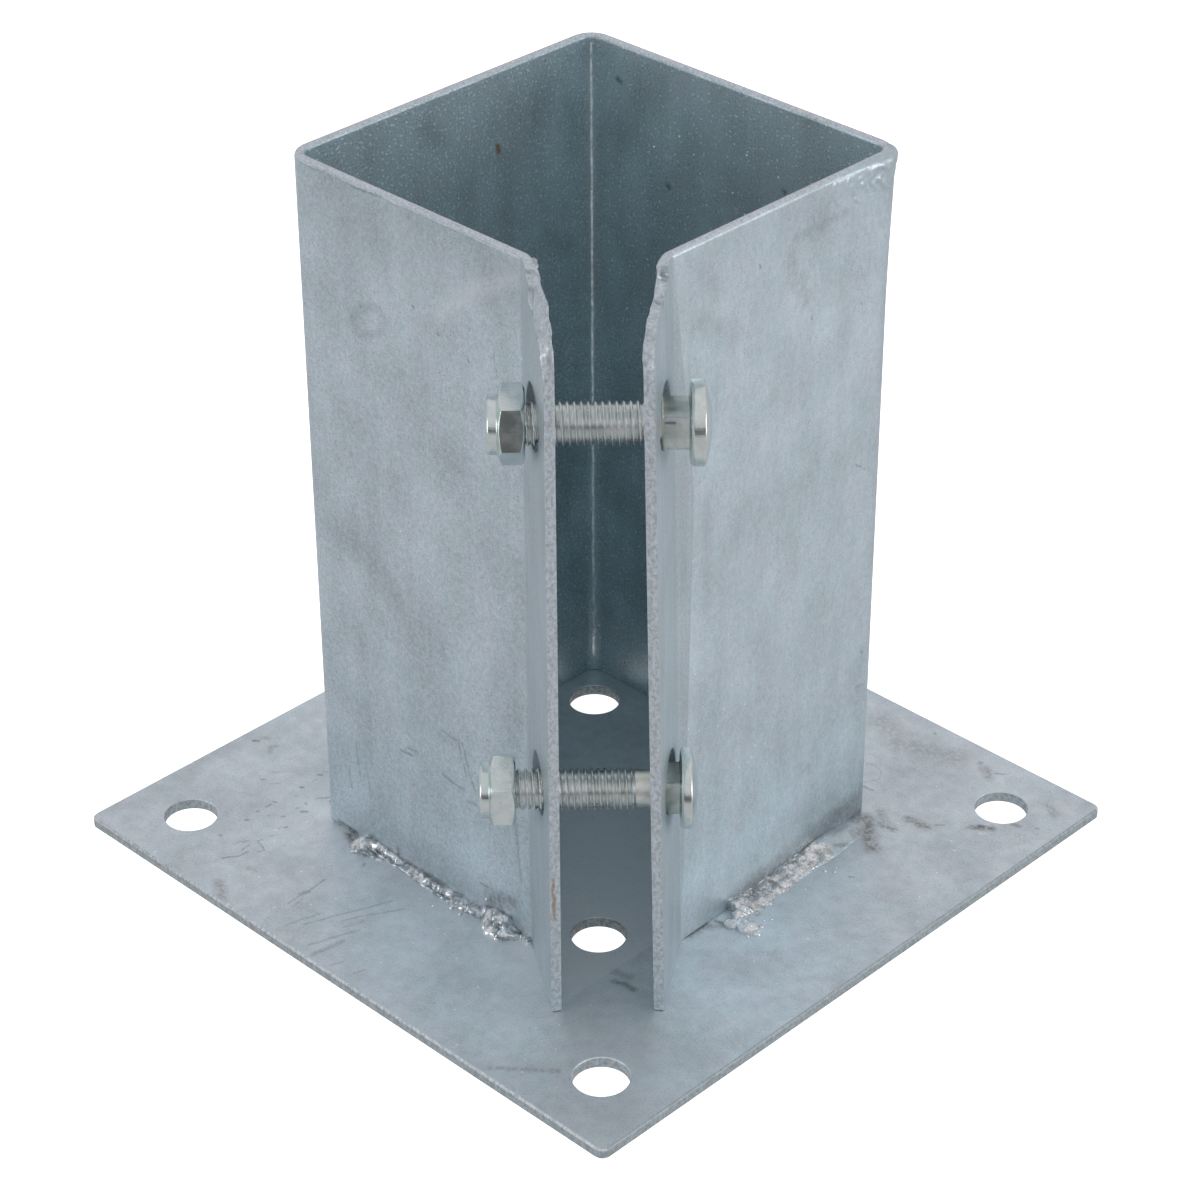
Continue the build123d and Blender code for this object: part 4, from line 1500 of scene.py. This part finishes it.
# Noises that make up each texture: size, stretch, detail and weight
clouds = (14, (1, 1, 0.7), 2, 0.6)
runs = (4.5, (1, 1, 0.12), 2, 0.2)
wall_texture = {
    "layers": (clouds, runs, (0.9, (1, 1, 0.8), 3, 0.45), (0.28, (1, 1, 0.8), 2, 0.6)),
    "pit_size": 0.36,
    "pit_depth": 0.5,
    "specks": (3.1, 0.3, 0.12, 0.4),
}
smooth_texture = {
    "layers": (clouds, runs, (0.9, (1, 1, 0.6), 3, 0.35), (0.28, (1, 1, 0.8), 2, 0.45)),
    "pit_size": 0.36,
    "pit_depth": 0.25,
    "specks": (2.6, 0.3, 0.2, 0.4),
}
speckled_texture = {
    "layers": ((12, (1, 1, 0.7), 2, 0.7), (5, (1, 1, 0.12), 2, 0.3), (0.45, (1, 1, 1), 3, 0.9)),
    "pit_size": 0.5,
    "pit_depth": 0.3,
    "specks": (1.0, 0.38, 0.5, 0.35),
}
drawn_texture = {
    "layers": ((14, (1, 1, 0.7), 2, 0.4), (1.1, (1, 1, 0.03), 2, 0.2), (0.45, (1, 1, 0.7), 3, 0.45)),
    "pit_size": 0.5,
    "pit_depth": 0.15,
    "specks": (3.1, 0.3, 0.1, 0.4),
}
# Strips of the plate and the values of x between which each has marks of its own
plate_strips = (
    ("left_strip", -80.0, 2 - plate_strip),
    ("middle", -2 - plate_strip, 2 + plate_strip),
    ("right_strip", plate_strip - 2, 80.0),
)
plate_texture = {
    "layers": ((16, (1, 1, 1), 2, 0.5), (3, (1, 1, 1), 2, 0.3), (0.4, (1, 1, 1), 3, 0.6)),
    "pit_size": 0.4,
    "pit_depth": 0.3,
    "specks": (2.4, 0.32, 0.2, 0.5),
}

left_tone = (0.59, 0.69, 0.74)
# right_tone_painted_light is left_tone lightened: painted light on the right wall
right_tone_painted_light = (0.63, 0.735, 0.785)
inner_tone = (0.575, 0.705, 0.745)
# flange_tone_painted_shade is left_tone darkened: painted shade on the flanges beside the walls
flange_tone_painted_shade = (0.545, 0.635, 0.675)
plate_tone = (0.70, 0.78, 0.82)
socket_finishes = {
    "left_wall": galvanised("left_wall", left_tone, wall_texture, on_left_wall, left_wall_marks),
    "right_wall": galvanised("right_wall", right_tone_painted_light, smooth_texture, on_right_wall, right_wall_marks),
    "inner_left": galvanised("inner_left", inner_tone, speckled_texture, on_inner_left, inner_left_marks),
    "inner_right": galvanised(
        "inner_right", inner_tone, speckled_texture, on_inner_right, inner_right_marks
    ),
    "inner_front": galvanised("inner_front", inner_tone, speckled_texture),
    "flange": galvanised("flange", flange_tone_painted_shade, drawn_texture),
    "back": galvanised("back", left_tone, wall_texture),
    "edge": raw_edge(
        "sheared_edge", (0.46, 0.52, 0.55, 1), (0.76, 0.84, 0.89, 1), 0.08, on_cut_edge, cut_edge_marks
    ),
    "rim": raw_edge("rounded_rim", (0.52, 0.58, 0.63, 1), (0.76, 0.82, 0.88, 1), 0.04),
}
plate_finishes = {
    name: galvanised(f"plate_{name}", plate_tone, plate_texture, on_plate, marks_within(low, high))
    for name, low, high in plate_strips
}
plate_finishes |= {
    # Sheared-edge speckle for the sides, darkened with painted shade
    "side": raw_edge("plate_side_painted_shade", (0.34, 0.40, 0.42, 1), (0.56, 0.65, 0.68, 1), 0.06),
    # Lighter rounding along the left side: a painted highlight
    "left_rounding": raw_edge("rounding_painted_highlight", (0.44, 0.51, 0.54, 1), (0.80, 0.85, 0.88, 1), 0.05),
    # Rounding along the sides, darkened with painted shade
    "rounding": raw_edge("rounding_painted_shade", (0.42, 0.49, 0.51, 1), (0.58, 0.66, 0.69, 1), 0.05),
    "hole_wall": raw_edge("hole_wall", (0.36, 0.43, 0.45, 1), (0.60, 0.70, 0.74, 1), 0.06),
    "hole_rounding": raw_edge("hole_rounding", (0.64, 0.71, 0.74, 1), (0.84, 0.89, 0.92, 1), 0.03),
    # Darker copies for the holes inside the socket: painted shade
    "inner_hole_wall": raw_edge("inner_hole_wall", (0.16, 0.19, 0.20, 1), (0.34, 0.40, 0.42, 1), 0.06),
    "inner_hole_rounding": raw_edge("inner_rounding", (0.50, 0.57, 0.60, 1), (0.84, 0.89, 0.92, 1), 0.05),
}
speck_zinc = raw_edge("speck", (0.7, 0.75, 0.78, 1), (0.96, 0.98, 0.99, 1), 0.05)
seam_zinc = weld_metal(
    "seam_zinc", (0.46, 0.58, 0.62, 1), (0.82, 0.92, 0.95, 1), 0.8, (0.16, 0.26), bump=0.004
)
burnt_zinc = raw_edge("burnt_zinc", (0.34, 0.38, 0.40, 1), (0.62, 0.67, 0.71, 1), 0.08)
bead_tone = (0.56, 0.65, 0.69)
bead_skin = galvanised("bead_skin", bead_tone, smooth_texture, on_right_bead, right_bead_marks_and_shadow)
bolt_zinc = bright_zinc("bolt_zinc", (0.70, 0.77, 0.74, 1), (0.80, 0.86, 0.83, 1), 0.4, (0.14, 0.22))
neck_zinc = bright_zinc(
    "neck_zinc", (0.66, 0.70, 0.64, 1), (0.86, 0.88, 0.82, 1), 2.0, (0.3, 0.4), on_upper_neck, neck_highlight_and_marks
)
thread_zinc = bright_zinc("thread_zinc", (0.70, 0.73, 0.71, 1), (0.86, 0.89, 0.88, 1), 0.2, (0.26, 0.36))
nut_zinc = bright_zinc("nut_zinc", (0.67, 0.76, 0.75, 1), (0.78, 0.85, 0.84, 1), 0.3, (0.14, 0.22))
wet_weld = weld_metal(
    "wet_weld", (0.30, 0.35, 0.38, 1), (0.86, 0.92, 0.95, 1), 0.8, (0.10, 0.22),
    on_left_bead, left_bead_marks
)
rough_weld = weld_metal(
    "rough_weld", (0.44, 0.48, 0.48, 1), (0.97, 0.98, 0.98, 1), 0.4, (0.15, 0.4),
    on_right_bead, right_bead_marks_and_shadow, bump=0.13
)
bright_weld = weld_metal("bright_weld", (0.66, 0.71, 0.74, 1), (0.95, 0.98, 0.99, 1), 0.9, (0.1, 0.3))
nylon = nylon_plastic("nylon")

add_camera()
add_dome()
for name, (where, power) in side_lights.items():
    add_light(name, where, power)
add_floor()
dress_plate()
dress_socket()
add_welds()
add_spatter()
add_corner_lip()
add_shear_burrs()
add_corner_seam()
add_zinc_specks()
for level in ("upper", "lower"):
    add_bolt(level)
    add_nut(level)
    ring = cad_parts[f"{level}_nut_insert"]
    ring.data.materials.clear()
    ring.data.materials.append(nylon)
bpy.context.scene.view_settings.view_transform = "Standard"
